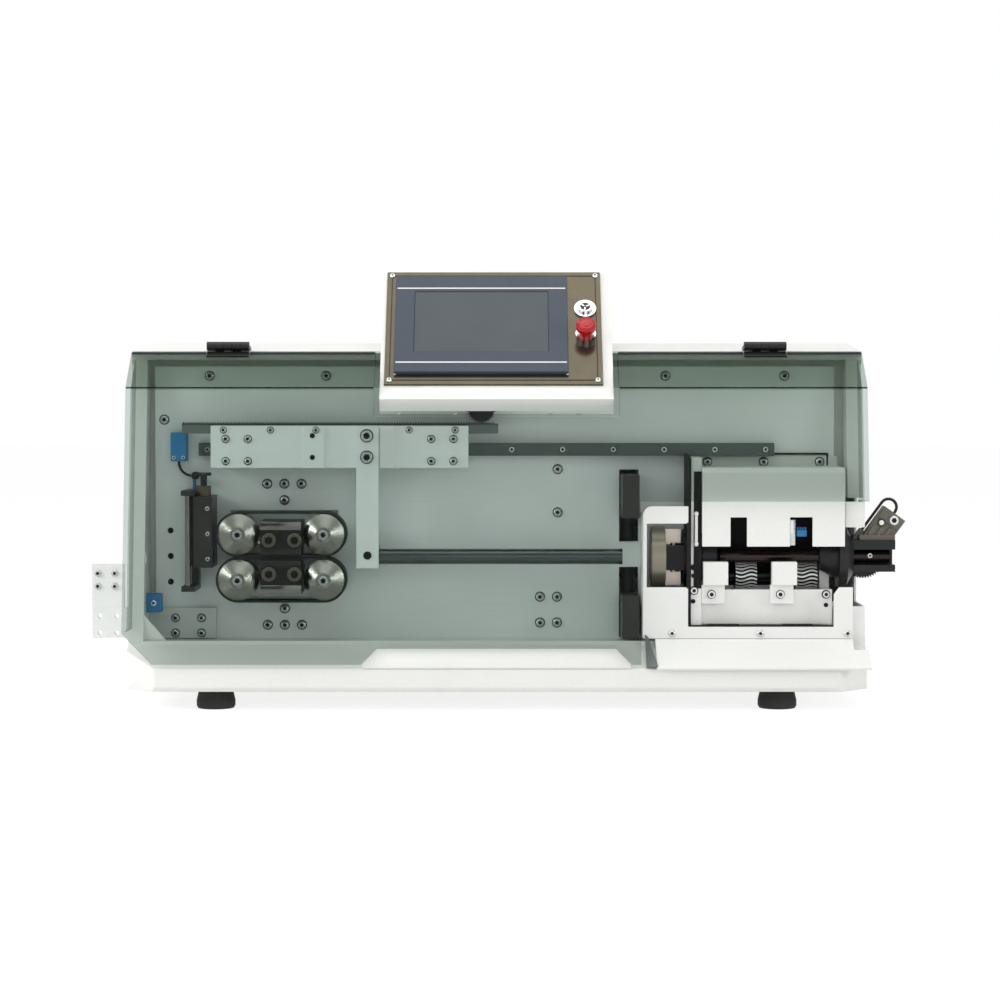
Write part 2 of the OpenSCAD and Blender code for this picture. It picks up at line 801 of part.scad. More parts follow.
module inlet_block() {
    color([0.12, 0.12, 0.12]) difference() {
        union() {
            block(-354, 68, wire_z - 12, [22, plate_d - 68, 83]);
            for (z = [wire_z - 40, wire_z + 72]) block(-368, 64, z, [16, plate_d - 64, 6]);
            block(-368, 108, wire_z - 40, [16, plate_d - 108, 118]);
        }
        at(-360, wire_d, wire_z) rod_x(8, 40);
        for (d = [wire_d - 12, wire_d + 12]) at(-361, d, wire_z - 38) cylinder(r = 2 + running, h = 130);
        at(-343, wire_d - 5, wire_z + 40) cylinder(r = 3.3 + running, h = 60);
    }
}

module inlet_roller(d) {
    color("silver") at(-361, d, 0) {
        translate([0, 0, wire_z - 38 + gap]) cylinder(r = 2, h = 114);
        translate([0, 0, wire_z - 34 + gap]) cylinder(r = 3.4, h = 106 - 2 * gap);
    }
}

module inlet_roller_front() { inlet_roller(wire_d - 12); }
module inlet_roller_back() { inlet_roller(wire_d + 12); }

module clamp_screw() {
    top = wire_z - 12 + 83;
    color("peru") at(-343, wire_d - 5, 0) {
        translate([0, 0, wire_z + 50]) cylinder(r = 3.3, h = top + 27 - wire_z - 50);
        translate([0, 0, top + gap]) cylinder(r = 8.7, h = 12);
        translate([-8, 0, top + 26]) rod_x(1.6, 16);
    }
}

// Blue switch blocks: one beside the rack, one on the frame that the cover meets
module sensors() {
    color("royalblue") {
        block(plate_x0 + 20, plate_d - 16, sensor_z, [19, 16, 34]);
        block(-recess_w / 2, 84, 107, [18, 16, 22]);
    }
}

// The rack sensor's cable: down and in a quarter turn to its gland
module sensor_lead() {
    color([0.1, 0.1, 0.1]) at(lead_x, lead_d, sensor_z - lead_drop) {
        cylinder(r = lead_r, h = lead_drop);
        translate([lead_bend, 0, 0]) rotate([90, 0, 0]) rotate([0, 0, 180]) rotate_extrude(angle = 90)
            translate([lead_bend, 0]) circle(lead_r);
    }
}

// The gland that the cable enters, flat on the side of the cable
module lead_gland() {
    end_x = lead_x + lead_bend;
    color([0.1, 0.1, 0.1]) difference() {
        at(end_x + gland_r - 1, lead_d - 4, sensor_z - lead_drop - lead_bend) rod_y(gland_r, 12);
        block(end_x - 10, lead_d - 5, sensor_z - 40, [10, 20, 40]);
    }
}

// Clamp

module jaw(side) {
    color([0.18, 0.19, 0.22]) translate([0, 0, wire_z]) mirror([0, 0, side < 0 ? 1 : 0]) difference() {
        union() {
            block(jaw_x0, jaw_front, jaw_tip, [jaw_w, plate_d - gap - jaw_front, jaw_top - jaw_tip]);
            block(jaw_x0, plate_d - 1, jaw_stem, [jaw_w, rod_d + rod_r + 5 - plate_d, jaw_top - jaw_stem]);
        }
        at(jaw_x0 - 1, wire_d, jaw_tip) rod_x(10, jaw_w + 2);
        at(jaw_x0 + jaw_w / 2, rod_d, 0) cylinder(r = rod_r + running, h = 200);
    }
}

module jaw_upper() { jaw(1); }
module jaw_lower() { jaw(-1); }

module jaw_rod() {
    color("silver") {
        at(jaw_x0 + jaw_w / 2, rod_d, base_top) cylinder(r = rod_r, h = slot_up[1] + 16 - base_top);
        for (z = [wire_z - 10, slot_up[1] + 4])
            block(jaw_x0, plate_back, z, [jaw_w, rod_d + rod_r + 5 - plate_back, z > wire_z ? 14 : 20]);
    }
}

// Cutting head

module head_shroud() {
    low = 94;
    color("white") {
        translate([0, fy(shroud_d + sheet), 0]) rotate([90, 0, 0]) linear_extrude(sheet) difference() {
            union() {
                polygon([
                    [shroud_x0, 80.5], [shroud_x0, 224], [shroud_x0 + 10, 234], [shroud_x1, 234],
                    [shroud_x1, low],
                    [module_x1, low], [module_x1, 132], [module_x1 + 6, 140], [module_x1 + 22, 140],
                    [module_x1 + 22, 80.5]
                ]);
                translate([shroud_x0 + 10, 224]) circle(10);
            }
            translate([shroud_x0 + 4, 140]) square([shroud_x1 - shroud_x0 - 5, 74]);
        }
        difference() {
            block(shroud_x0, shroud_d + sheet, 80.5, [sheet, plate_d - shroud_d - sheet, 143]);
            at(shroud_x0 - 1, wire_d, wire_z) rod_x(20, 10);
        }
        block(shroud_x0, plate_d - sheet, 80.5, [10, sheet, 40]);
    }
}

module bearing_plates() {
    panel_d = 66;
    color("whitesmoke") difference() {
        union() {
            block(left_plate_x, bearing_d, 94, [bearing_t, plate_d - bearing_d, 196]);
            block(right_plate_x, panel_d, 94, [bearing_t - 1, plate_d - panel_d, 42]);
            block(right_plate_x, 94, 94, [bearing_t - 1, plate_d - 94, 160]);
            block(left_plate_x + bearing_t, panel_d - 6, 96, [module_x1 - left_plate_x - bearing_t, 6, 40]);
        }
        at(left_plate_x - 1, wire_d, wire_z) rod_x(spindle_r + running, bearing_t + 2);
        for (x = [left_plate_x, right_plate_x]) at(x - 1, lay_d, lay_z) rod_x(lay_r + running, bearing_t + 2);
    }
}

module support_blocks() {
    color("white") for (x = [hub_x, hub_x + 80]) difference() {
        union() {
            block(x, hood_d, 142, [29, 14, 27]);
            block(x - 1.7, 53, 120, [27, 7, 22]);
            block(x, 53, 120, [24, 9, 24]);
        }
        at(x + 10, 52, 131) rod_y(3, 4, $fn = 6);
        block(x - 6, 60, 100, [40, 10, 36.3]);
    }
}

module blade_rotor() {
    color([0.42, 0.38, 0.33]) at(0, wire_d, wire_z) difference() {
        union() {
            translate([disc_x, 0, 0]) rod_x(disc_r, 16);
            for (y = [-30, 14]) translate([disc_x + 16, y, -14]) cube([21, 16, 28]);
            translate([disc_x + 37, 0, 0]) rod_x(32, 6);
            translate([disc_x + 43, 0, 0]) rod_x(spindle_r, hub_x - disc_x - 43);
            translate([hub_x, 0, 0]) rod_x(hub_r, hub_w);
        }
        translate([disc_x - 1, 0, 0]) rod_x(10.5, hub_x + hub_w - disc_x + 2);
    }
}

// A blade in its holder, which slides on the disc towards the wire
module blade(side) {
    color("silver") at(disc_x + 16, wire_d, wire_z) mirror([0, 0, side < 0 ? 1 : 0]) {
        translate([gap, -12, 17]) cube([18, 24, 16]);
        translate([gap, -12, 15]) cube([6, 24, 2]);
        translate([9, 0, 0]) rotate([90, 0, 90]) linear_extrude(2.5)
            polygon([[-9, 17], [-9, 14], [0, 14.5], [9, 14], [9, 17]]);
    }
}

module blade_upper() { blade(1); }
module blade_lower() { blade(-1); }

// Open loop of belt round the hub and the motor's drive wheel
module belt_loop(grow) {
    hull() {
        circle(hub_r + grow, $fn = 40);
        translate([drive_d - wire_d, 0]) circle(drive_r + grow, $fn = 32);
    }
}

module head_belt() {
    color([0.08, 0.08, 0.08]) at(hub_x + 1, wire_d, wire_z) rotate([90, 0, 90])
        linear_extrude(hub_w - 2) difference() {
            belt_loop(gap + 2);
            belt_loop(gap);
        }
}

module gear_shaft() {
    color("gray") at(0, lay_d, lay_z) {
        translate([left_plate_x + 1, 0, 0]) rod_x(lay_r, right_plate_x - left_plate_x + 9);
        for (x = gear_xs) translate([x, 0, 0]) rotate([90, 0, 90]) linear_extrude(gear_w)
            gear_outline(24, gear_r * 2 / 26);
    }
}

module hood() {
    bend = 4;
    color("white") difference() {
        across(hood_x0, hood_x1, [
            [hood_d, hood_low], [hood_d, hood_top - bend], [hood_d + bend, hood_top], [plate_d, hood_top],
            [plate_d, hood_top + 14], [plate_d - sheet, hood_top + 14], [plate_d - sheet, hood_top + sheet],
            [hood_d + bend - 1, hood_top + sheet], [hood_d - sheet, hood_top - bend + 1],
            [hood_d - sheet, hood_low]
        ]);
        for (x = [[33, 19], [102, 26]]) block(hood_x0 + x[0], 0, 0, [x[1], hood_d + 5, 221]);
    }
}

module exit_tube() {
    color([0.16, 0.11, 0.09]) at(hub_x + hub_w + 4, wire_d, wire_z) difference() {
        rod_x(exit_tube_r, exit_x1 - hub_x - hub_w - 4);
        translate([-1, 0, 0]) rod_x(exit_tube_r - 2, 300);
    }
}

module exit_unit() {
    color([0.12, 0.12, 0.12]) difference() {
        union() {
            block(module_x1, 70, wire_z + 9, [75, 32, 11]);
            block(module_x1, 70, wire_z - 17, [75, 32, 8]);
            block(module_x1, 94, wire_z - 17, [75, 8, 37]);
            at(module_x1, wire_d, wire_z) rod_x(24, flange_x - module_x1);
            difference() {
                union() {
                    at(right_plate_x - 2, wire_d, wire_z) rotate([0, 90, 0])
                        cylinder(r1 = 15, r2 = 22, h = 13);
                    at(flange_x, wire_d, wire_z) rod_x(flange_r, 10);
                    at(flange_x + 10, wire_d, wire_z) rotate([0, 90, 0])
                        cylinder(r1 = flange_r, r2 = flange_r - 14, h = 8);
                }
                block(right_plate_x - 3, 94 - gap, wire_z - 50, [50, 50, 100]);
            }
        }
        at(right_plate_x - 3, wire_d, wire_z) rod_x(exit_tube_r + running, 110);
        at(exit_gear_x, 93, wire_z) rod_y(5 + running, 10);
    }
}

module exit_gear() {
    color([0.1, 0.1, 0.1]) at(exit_gear_x, 94.5, wire_z) {
        rod_y(5, 16);
        translate([0, 16, 0]) rotate([90, 0, 0]) linear_extrude(8) gear_outline(52, 1);
    }
}

// Places children in the frame of the leaning sensor, from the left end of its top edge
module on_eye(d) {
    at(eye_x, d, eye_z) rotate([0, eye_lean, 0]) children();
}

module exit_sensor() {
    foot_z = wire_z + 20;
    color("gray") difference() {
        union() {
            block(eye_x - 30, 74, foot_z, [42, 24, 6]);
            on_eye(76) translate([0, 0, -eye_l]) cube([30, 20, eye_l]);
            on_eye(82.5) translate([-7.5, 0, -eye_l]) cube([7.5, 7, eye_l - eye_run + 2]);
        }
        block(eye_x - 60, 60, foot_z - 60, [120, 60, 60]);
        block(eye_x - 60, 60, foot_z - 1, [23.5, 60, 60]);
    }
}

// The sensor's cable: out of its top, over in a half turn and down beside it
module exit_lead() {
    color([0.1, 0.1, 0.1]) on_eye(86) {
        translate([2 * eye_bend - 4, 0, 0]) cylinder(r = eye_lead_r, h = 2);
        translate([eye_bend - 4, 0, 2]) rotate([90, 0, 0]) rotate_extrude(angle = 180)
            translate([eye_bend, 0]) circle(eye_lead_r);
        translate([-4, 0, 2 - eye_run]) cylinder(r = eye_lead_r, h = eye_run);
    }
}

// Power supply and control board on the back panel, with the mains inlet below
module control_unit() {
    color("gray") {
        block(60, back_d - 45, 130, [215, 45, 115]);
        block(-120, back_d - 12, 120, [150, 12, 210]);
        difference() {
            union() {
                block(-320 + gap, back_d - 30, base_top + 30 + gap, [48 - 2 * gap, 30 + sheet, 28 - 2 * gap]);
                block(-328, back_d + sheet, base_top + 26, [64, flange_t, 36]);
            }
            block(-310, back_d - 18, base_top + 35, [28, 40, 18]);
        }
    }
}

base_tray();
feet();
housing();
left_panel();
left_jamb();
mounting_plate();
back_panel();
chute();
cover();
hinge_leaves_cover();
hinge_leaves_cabinet();
console_box();
console_plate();
panel_bezel();
panel_screen();
power_button();
button_collars();
estop_button();
linear_rail();
runner_blocks();
carriage_plate();
rack();
pinion();
hanging_arm();
tube_holder();
guide_tube();
fixed_motors();
feed_slide_upper();
feed_slide_lower();
feed_guides();
feed_belt_upper();
feed_belt_lower();
pulley_upper_left();
pulley_upper_right();
pulley_lower_left();
pulley_lower_right();
feed_motor_upper();
feed_motor_lower();
plate_screws();
inlet_plate();
inlet_block();
inlet_roller_front();
inlet_roller_back();
clamp_screw();
sensors();
sensor_lead();
lead_gland();
exit_sensor();
exit_lead();
jaw_upper();
jaw_lower();
jaw_rod();
head_shroud();
bearing_plates();
support_blocks();
blade_rotor();
blade_upper();
blade_lower();
head_belt();
gear_shaft();
hood();
exit_tube();
exit_unit();
exit_gear();
control_unit();
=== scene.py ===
import json
import math
import bmesh
import bpy
from mathutils import Matrix, Vector


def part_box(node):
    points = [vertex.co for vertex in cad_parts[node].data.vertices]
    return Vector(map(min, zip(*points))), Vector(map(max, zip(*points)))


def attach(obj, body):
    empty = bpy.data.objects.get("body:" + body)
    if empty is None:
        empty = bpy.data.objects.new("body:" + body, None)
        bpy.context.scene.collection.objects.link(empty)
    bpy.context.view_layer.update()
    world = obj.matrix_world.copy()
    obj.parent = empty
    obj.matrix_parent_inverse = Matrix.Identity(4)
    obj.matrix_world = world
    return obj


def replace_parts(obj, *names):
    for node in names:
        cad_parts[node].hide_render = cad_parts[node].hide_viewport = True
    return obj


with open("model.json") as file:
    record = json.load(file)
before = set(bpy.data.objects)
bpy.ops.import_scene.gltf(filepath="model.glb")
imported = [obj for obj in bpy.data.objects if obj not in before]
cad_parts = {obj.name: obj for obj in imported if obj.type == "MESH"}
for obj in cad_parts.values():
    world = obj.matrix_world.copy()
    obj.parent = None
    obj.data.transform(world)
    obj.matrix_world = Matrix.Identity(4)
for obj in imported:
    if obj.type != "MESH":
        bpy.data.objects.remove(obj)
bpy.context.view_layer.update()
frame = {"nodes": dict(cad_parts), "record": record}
nodes = frame["nodes"]
mm = 0.001
wireDepth = 85
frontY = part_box("cover")[0].y  # the cover's bottom edge, where depths start
print("frame loaded:", len(nodes), "nodes")


def at(x, depth, z):
    return Vector((x * mm, frontY + depth * mm, z * mm))


# Camera, floor and light

view = {"lens": 94.75, "away": 3000, "x": 4, "height": 380, "pitchDown": 2.61}
cameraData = bpy.data.cameras.new("camera")
cameraData.lens = view["lens"]
cameraData.sensor_width = 36
cameraData.clip_end = 60
camera = bpy.data.objects.new("camera", cameraData)
camera.location = at(view["x"], -view["away"], view["height"])
camera.rotation_euler = (math.radians(90 - view["pitchDown"]), 0, 0)
bpy.context.collection.objects.link(camera)
bpy.context.scene.camera = camera
bpy.context.scene.view_settings.view_transform = "Standard"


def linear(hexCode):
    parts = [int(hexCode[i:i + 2], 16) / 255 for i in (1, 3, 5)]
    return tuple(c / 12.92 if c <= 0.04045 else ((c + 0.055) / 1.055) ** 2.4 for c in parts) + (1,)


def addNode(tree, kind, values=None, links=None):
    node = tree.nodes.new(kind)
    for key, value in (values or {}).items():
        if isinstance(key, int) or key in node.inputs:
            node.inputs[key].default_value = value
        else:
            setattr(node, key, value)
    for key, source in (links or {}).items():
        tree.links.new(source, node.inputs[key])
    return node


def startMaterial(name):
    material = bpy.data.materials.new(name)
    material.use_nodes = True
    material.node_tree.nodes.clear()
    return material, material.node_tree


def cameraSees(tree):
    path = addNode(tree, "ShaderNodeLightPath")
    first = addNode(tree, "ShaderNodeMath", {"operation": "MAXIMUM"},
                    {0: path.outputs["Is Camera Ray"], 1: path.outputs["Is Glossy Ray"]})
    return addNode(tree, "ShaderNodeMath", {"operation": "MAXIMUM"},
                   {0: first.outputs[0], 1: path.outputs["Is Transmission Ray"]}).outputs[0]


def buildStage():
    size = 12
    bm = bmesh.new()
    bmesh.ops.create_grid(bm, x_segments=2, y_segments=2, size=size)
    mesh = bpy.data.meshes.new("studioFloor")
    bm.to_mesh(mesh)
    bm.free()
    floor = bpy.data.objects.new("studioFloor", mesh)
    floor.location = (0, 0, -0.0005)
    bpy.context.collection.objects.link(floor)
    material, tree = startMaterial("matteWhiteSweep")
    sees = cameraSees(tree)
    share = addNode(tree, "ShaderNodeMath", {"operation": "MULTIPLY", 1: 0.7}, {0: sees})
    paint = addNode(tree, "ShaderNodeBsdfDiffuse", {"Color": linear("#f4f4f3")})
    glow = addNode(tree, "ShaderNodeEmission", {"Color": (1, 1, 1, 1), "Strength": 1.2})
    mix = addNode(tree, "ShaderNodeMixShader", {},
                  {0: share.outputs[0], 1: paint.outputs[0], 2: glow.outputs[0]})
    addNode(tree, "ShaderNodeOutputMaterial", {}, {"Surface": mix.outputs[0]})
    mesh.materials.append(material)

    world = bpy.data.worlds.new("studioWorld")
    world.use_nodes = True
    tree = world.node_tree
    tree.nodes.clear()
    room = addNode(tree, "ShaderNodeBackground", {"Color": (1, 1, 1, 1), "Strength": 0.55})
    seen = addNode(tree, "ShaderNodeBackground", {"Color": (1, 1, 1, 1), "Strength": 1.0})
    mix = addNode(tree, "ShaderNodeMixShader", {},
                  {0: cameraSees(tree), 1: room.outputs[0], 2: seen.outputs[0]})
    addNode(tree, "ShaderNodeOutputWorld", {}, {"Surface": mix.outputs[0]})
    bpy.context.scene.world = world

    # a dark studio wall behind the camera, for the metal to mirror
    bm = bmesh.new()
    bmesh.ops.create_grid(bm, x_segments=2, y_segments=2, size=1)
    wallMesh = bpy.data.meshes.new("studioWall")
    bm.to_mesh(wallMesh)
    bm.free()
    wall = bpy.data.objects.new("studioWall", wallMesh)
    wall.scale = (3.6, 1.5, 1)
    wall.location = (0, -4.6, 1.1)
    wall.rotation_euler = (math.radians(90), 0, 0)
    wall.visible_camera = False
    bpy.context.collection.objects.link(wall)
    material, tree = startMaterial("greyStudioCloth")
    cloth = addNode(tree, "ShaderNodeBsdfDiffuse", {"Color": linear("#3a3b3d")})
    addNode(tree, "ShaderNodeOutputMaterial", {}, {"Surface": cloth.outputs[0]})
    wallMesh.materials.append(material)

    lamps = [
        {"name": "topSoftbox", "place": (0, -0.5, 2.4), "aim": (0, 0, 0.2), "size": 2.2, "power": 28},
        {"name": "frontSoftbox", "place": (-1.2, -2.6, 1.5), "aim": (0, 0, 0.25), "size": 1.5, "power": 10},
        {"name": "lowSoftbox", "place": (0.5, -3.1, 0.6), "aim": (0, 0, 0.25), "size": 1.6, "power": 14},
        {"name": "leftStrip", "place": (-2.1, -0.85, 1.0), "aim": (-0.3, -0.1, 0.2), "size": 0.5,
         "power": 22},
        {"name": "rightStrip", "place": (2.2, -1.1, 0.7), "aim": (0.1, 0, 0.2), "size": 0.6, "power": 12},
    ]
    for lamp in lamps:
        data = bpy.data.lights.new(lamp["name"], "AREA")
        data.size = lamp["size"]
        data.energy = lamp["power"]
        light = bpy.data.objects.new(lamp["name"], data)
        light.location = lamp["place"]
        beam = Vector(lamp["aim"]) - Vector(lamp["place"])
        light.rotation_euler = beam.to_track_quat("-Z", "Y").to_euler()
        bpy.context.collection.objects.link(light)


buildStage()
print("stage ready")

# Materials


def surface(name, tones, rough, metallic=0.0, grain=3.0, stretch=(1, 1, 1), bump=0.0, spread=0.05,
            extra=None):
    # two tones broken up by a grain of a real size, which also moves the gloss and lifts the surface
    material, tree = startMaterial(name)
    place = addNode(tree, "ShaderNodeTexCoord").outputs["Object"]
    grid = addNode(tree, "ShaderNodeMapping", {"Scale": [s / (grain * mm) for s in stretch]},
                   {"Vector": place})
    fine = addNode(tree, "ShaderNodeTexNoise", {"Scale": 1.0, "Detail": 4.0, "Roughness": 0.6},
                   {"Vector": grid.outputs[0]}).outputs["Fac"]
    cloud = 90  # mm across a broad change of tone
    broad = addNode(tree, "ShaderNodeTexNoise", {"Scale": 1 / (cloud * mm), "Detail": 2.0},
                    {"Vector": place}).outputs["Fac"]
    both = addNode(tree, "ShaderNodeMath", {"operation": "MULTIPLY_ADD", 1: 0.45, 2: 0.0}, {0: broad})
    total = addNode(tree, "ShaderNodeMath", {"operation": "MULTIPLY_ADD", 1: 0.55},
                    {0: fine, 2: both.outputs[0]}).outputs[0]
    ramp = addNode(tree, "ShaderNodeValToRGB", {}, {"Fac": total})
    ramp.color_ramp.elements[0].position = 0.3
    ramp.color_ramp.elements[1].position = 0.7
    ramp.color_ramp.elements[0].color = linear(tones[0])
    ramp.color_ramp.elements[1].color = linear(tones[1])
    gloss = addNode(tree, "ShaderNodeMapRange",
                    {"To Min": max(rough - spread, 0.02), "To Max": rough + spread}, {"Value": fine})
    links = {"Base Color": ramp.outputs["Color"], "Roughness": gloss.outputs["Result"]}
    if bump:
        lift = addNode(tree, "ShaderNodeBump", {"Strength": 0.5, "Distance": bump * mm}, {"Height": fine})
        links["Normal"] = lift.outputs["Normal"]
    values = {"Metallic": metallic}
    values.update(extra or {})
    shader = addNode(tree, "ShaderNodeBsdfPrincipled", values, links)
    addNode(tree, "ShaderNodeOutputMaterial", {}, {"Surface": shader.outputs[0]})
    return material


finishes = {
    # powder-coated sheet steel: soft sheen and a faint orange peel, drawn coarser than life to show
    "white_paint": surface("powderCoatWhite", ("#dbdcd8", "#e4e4e1"), 0.42, grain=2.2, bump=0.05),
    # moulded rubber: dull, with a dusty tone
    "rubber": surface("mouldedRubber", ("#0d0d0d", "#181818"), 0.72, grain=1.5, bump=0.08),
    # satin anodised aluminium: fine rolling lines along the plate
    "bare_alu": surface("satinAnodisedAluminium", ("#eceff0", "#f6f8f8"), 0.42, 0.08, grain=2.0,
                        stretch=(0.05, 1, 1), spread=0.08),
    # black oxide steel: almost no colour, broken highlights; as each piece's second material it is also
    # painted shade in sockets and under screw heads
    "black_metal": surface("blackOxideSteelAndPaintedShade", ("#101112", "#1e1f20"), 0.42, 0.4, grain=1.2, bump=0.02),
    # bronze-tinted mirror sheet: brown-grey and almost clear in its reflection
    "bronze_plate": surface("bronzeMirrorSheet", ("#4b453a", "#57503f"), 0.2, 0.75, grain=14, spread=0.03),
    # moulded ABS in blue-grey with a spark-eroded grain
    "bezel": surface("sparkGrainAbs", ("#333c48", "#3d4652"), 0.5, grain=1.4, bump=0.05,
                     extra={"Specular IOR Level": 0.32}),
    # display glass switched off
    "screen": surface("displayGlass", ("#333c42", "#3c454b"), 0.32, grain=40, spread=0.03,
                      extra={"Specular IOR Level": 0.32}),
    # chrome plate over turned brass
    "chrome": surface("polishedChrome", ("#d5d6d8", "#e4e4e6"), 0.1, 1.0, grain=8, spread=0.03),
    # glossy moulded polycarbonate
    "red": surface("glossRedPolycarbonate", ("#9c0a12", "#ad1018"), 0.14, grain=6, spread=0.03,
                   extra={"Coat Weight": 0.35, "Specular IOR Level": 0.2}),
    # ground steel: fine straight scratches
    "steel": surface("groundSteel", ("#b4b7b7", "#d6d8d8"), 0.26, 0.85, grain=1.2,
                     stretch=(0.1, 1, 1), bump=0.01, spread=0.1),
    # induction-hardened rail steel, dark with an oil film
    "dark_steel": surface("oiledRailSteel", ("#474d4b", "#5d6361"), 0.32, 0.7, grain=1.4,
                          stretch=(0.08, 1, 1), spread=0.08),
    # black chromed tube with a wet shine
    "gloss_black": surface("blackChromedTube", ("#454a4c", "#5a5e60"), 0.16, 0.95, grain=30, spread=0.05,
                           extra={"Coat Weight": 0.5}),
    # toothed polyurethane belt, dull black
    "belt": surface("blackPolyurethaneBelt", ("#101010", "#1d1d1d"), 0.62, grain=1.5, bump=0.1),
    # blue moulded switch body
    "blue": surface("mouldedBluePolyamide", ("#1f6ca4", "#2c82bd"), 0.45, grain=2.0, bump=0.03),
    # dark anodised machined block
    "dark_block": surface("darkAnodisedBlock", ("#2b2928", "#3d3a38"), 0.4, 0.35, grain=1.6, bump=0.02),
    # browned steel tube
    "brown_tube": surface("brownedSteelTube", ("#15100e", "#2d221d"), 0.26, 0.6, grain=3.0,
                          stretch=(0.15, 1, 1), spread=0.08),
    # hardened steel with a brown straw tint
    "disc": surface("strawTemperedSteel", ("#5d564d", "#857b6e"), 0.35, 0.85, grain=1.6,
                    stretch=(1, 0.15, 0.15), spread=0.1),
    # black enamelled motor can
    "motor": surface("blackEnamelledCan", ("#17181a", "#232426"), 0.5, 0.2, grain=2.0, bump=0.03),
    # sintered bronze
    "brass": surface("sinteredBronze", ("#4f443a", "#6e6152"), 0.42, 0.7, grain=1.2, spread=0.1),
    # sand-cast grey aluminium
    "grey_cast": surface("sandCastAluminium", ("#55514a", "#716c63"), 0.5, 0.5, grain=1.4, bump=0.12),
}


def smokedAcrylic(name, front, facet):
    # smoked sheet: what is behind it stays sharp and loses light to a green-grey cast,
    # more through the sloping upper facet
    material, tree = startMaterial(name)
    spot = addNode(tree, "ShaderNodeTexCoord")
    lean = addNode(tree, "ShaderNodeSeparateXYZ", {}, {"Vector": spot.outputs["Normal"]})
    up = addNode(tree, "ShaderNodeMath", {"operation": "ABSOLUTE"}, {0: lean.outputs["Z"]})
    steep = addNode(tree, "ShaderNodeMapRange", {"From Min": 0.4, "From Max": 0.6}, {"Value": up.outputs[0]})
    haze = addNode(tree, "ShaderNodeTexNoise", {"Scale": 1 / (70 * mm), "Detail": 2.0},
                   {"Vector": spot.outputs["Object"]}).outputs["Fac"]
    cast = addNode(tree, "ShaderNodeMix", {"data_type": "RGBA"}, {0: steep.outputs["Result"]})
    cast.inputs[6].default_value = linear(front)
    cast.inputs[7].default_value = linear(facet)
    clear = addNode(tree, "ShaderNodeBsdfTransparent", {}, {"Color": cast.outputs[2]})
    shine = addNode(tree, "ShaderNodeMapRange", {"To Min": 0.03, "To Max": 0.07}, {"Value": haze})
    skin = addNode(tree, "ShaderNodeBsdfPrincipled", {"Base Color": linear("#2c332f"), "IOR": 1.49},
                   {"Roughness": shine.outputs["Result"]})
    both = addNode(tree, "ShaderNodeMixShader", {0: 0.05}, {1: clear.outputs[0], 2: skin.outputs[0]})
    addNode(tree, "ShaderNodeOutputMaterial", {}, {"Surface": both.outputs[0]})
    return material


finishes["tint"] = smokedAcrylic("smokedAcrylicSheet", "#eaeeec", "#ced5cf")
# a darker smoked sheet for the fold, painted as the dark line that the bend makes by refraction
foldShadeFinish = smokedAcrylic("foldRefractionShadeSheet", "#7d8880", "#7d8880")


def turnedSteel():
    # lathe-turned cone: rings too fine to see pull the light into bright wedges
    material, tree = startMaterial("turnedSteelCone")
    place = addNode(tree, "ShaderNodeTexCoord").outputs["Object"]
    streak = addNode(tree, "ShaderNodeTexNoise", {"Scale": 1 / (2.5 * mm), "Detail": 3.0},
                     {"Vector": place}).outputs["Fac"]
    ramp = addNode(tree, "ShaderNodeValToRGB", {}, {"Fac": streak})
    ramp.color_ramp.elements[0].color = linear("#827f79")
    ramp.color_ramp.elements[1].color = linear("#a6a39d")
    around = addNode(tree, "ShaderNodeTangent", {"direction_type": "RADIAL", "axis": "Y"})
    shader = addNode(tree, "ShaderNodeBsdfPrincipled",
                     {"Metallic": 1.0, "Roughness": 0.24, "Anisotropic": 0.95},
                     {"Base Color": ramp.outputs["Color"], "Tangent": around.outputs[0]})
    addNode(tree, "ShaderNodeOutputMaterial", {}, {"Surface": shader.outputs[0]})
    return material


coneFinish = turnedSteel()
# matt nickel on the blade holders: pale and slightly warm
nickelFinish = surface("mattNickelPlate", ("#b9b1a6", "#cfc8bd"), 0.35, 0.55, grain=1.2, spread=0.06)
# dark chrome on the inlet rollers
rollerFinish = surface("darkChromePlate", ("#7d7876", "#96908d"), 0.2, 0.95, grain=6, spread=0.05)


def splitFinish(name, measure, limit, below, above, metallic=0.35, middle=None):
    # two tones that meet at a coordinate, or at a radius round a shaft along X
    material, tree = startMaterial(name)
    spot = addNode(tree, "ShaderNodeTexCoord").outputs["Object"]
    if middle:
        away = addNode(tree, "ShaderNodeVectorMath", {"operation": "SUBTRACT", 1: middle}, {0: spot})
        flat = addNode(tree, "ShaderNodeVectorMath", {"operation": "MULTIPLY", 1: (0, 1, 1)},
                       {0: away.outputs[0]})
        value = addNode(tree, "ShaderNodeVectorMath", {"operation": "LENGTH"},
                        {0: flat.outputs[0]}).outputs["Value"]
    else:
        value = addNode(tree, "ShaderNodeSeparateXYZ", {}, {"Vector": spot}).outputs[measure]
    past = addNode(tree, "ShaderNodeMath", {"operation": "GREATER_THAN", 1: limit}, {0: value}).outputs[0]
    grain = addNode(tree, "ShaderNodeTexNoise", {"Scale": 1 / (2 * mm), "Detail": 3.0},
                    {"Vector": spot}).outputs["Fac"]
    tone = addNode(tree, "ShaderNodeMix", {"data_type": "RGBA"}, {0: past})
    tone.inputs[6].default_value = linear(below)
    tone.inputs[7].default_value = linear(above)
    gloss = addNode(tree, "ShaderNodeMapRange", {"To Min": 0.3, "To Max": 0.46}, {"Value": grain})
    shader = addNode(tree, "ShaderNodeBsdfPrincipled", {"Metallic": metallic},
                     {"Base Color": tone.outputs[2], "Roughness": gloss.outputs["Result"]})
    addNode(tree, "ShaderNodeOutputMaterial", {}, {"Surface": shader.outputs[0]})
    return material


# the slide behind the plate is bare aluminium, the block in front of it dark anodised
slideFinish = splitFinish("twoToneFeedSlide", "Y", at(0, 124, 0).y, "#23201e", "#eceff0")
# blued steel rotor behind a ground rim
rotorFinish = splitFinish("bluedRotorSteel", "X", 197.2 * mm, "#7f7a6c", "#0e0e0f", 0.6)
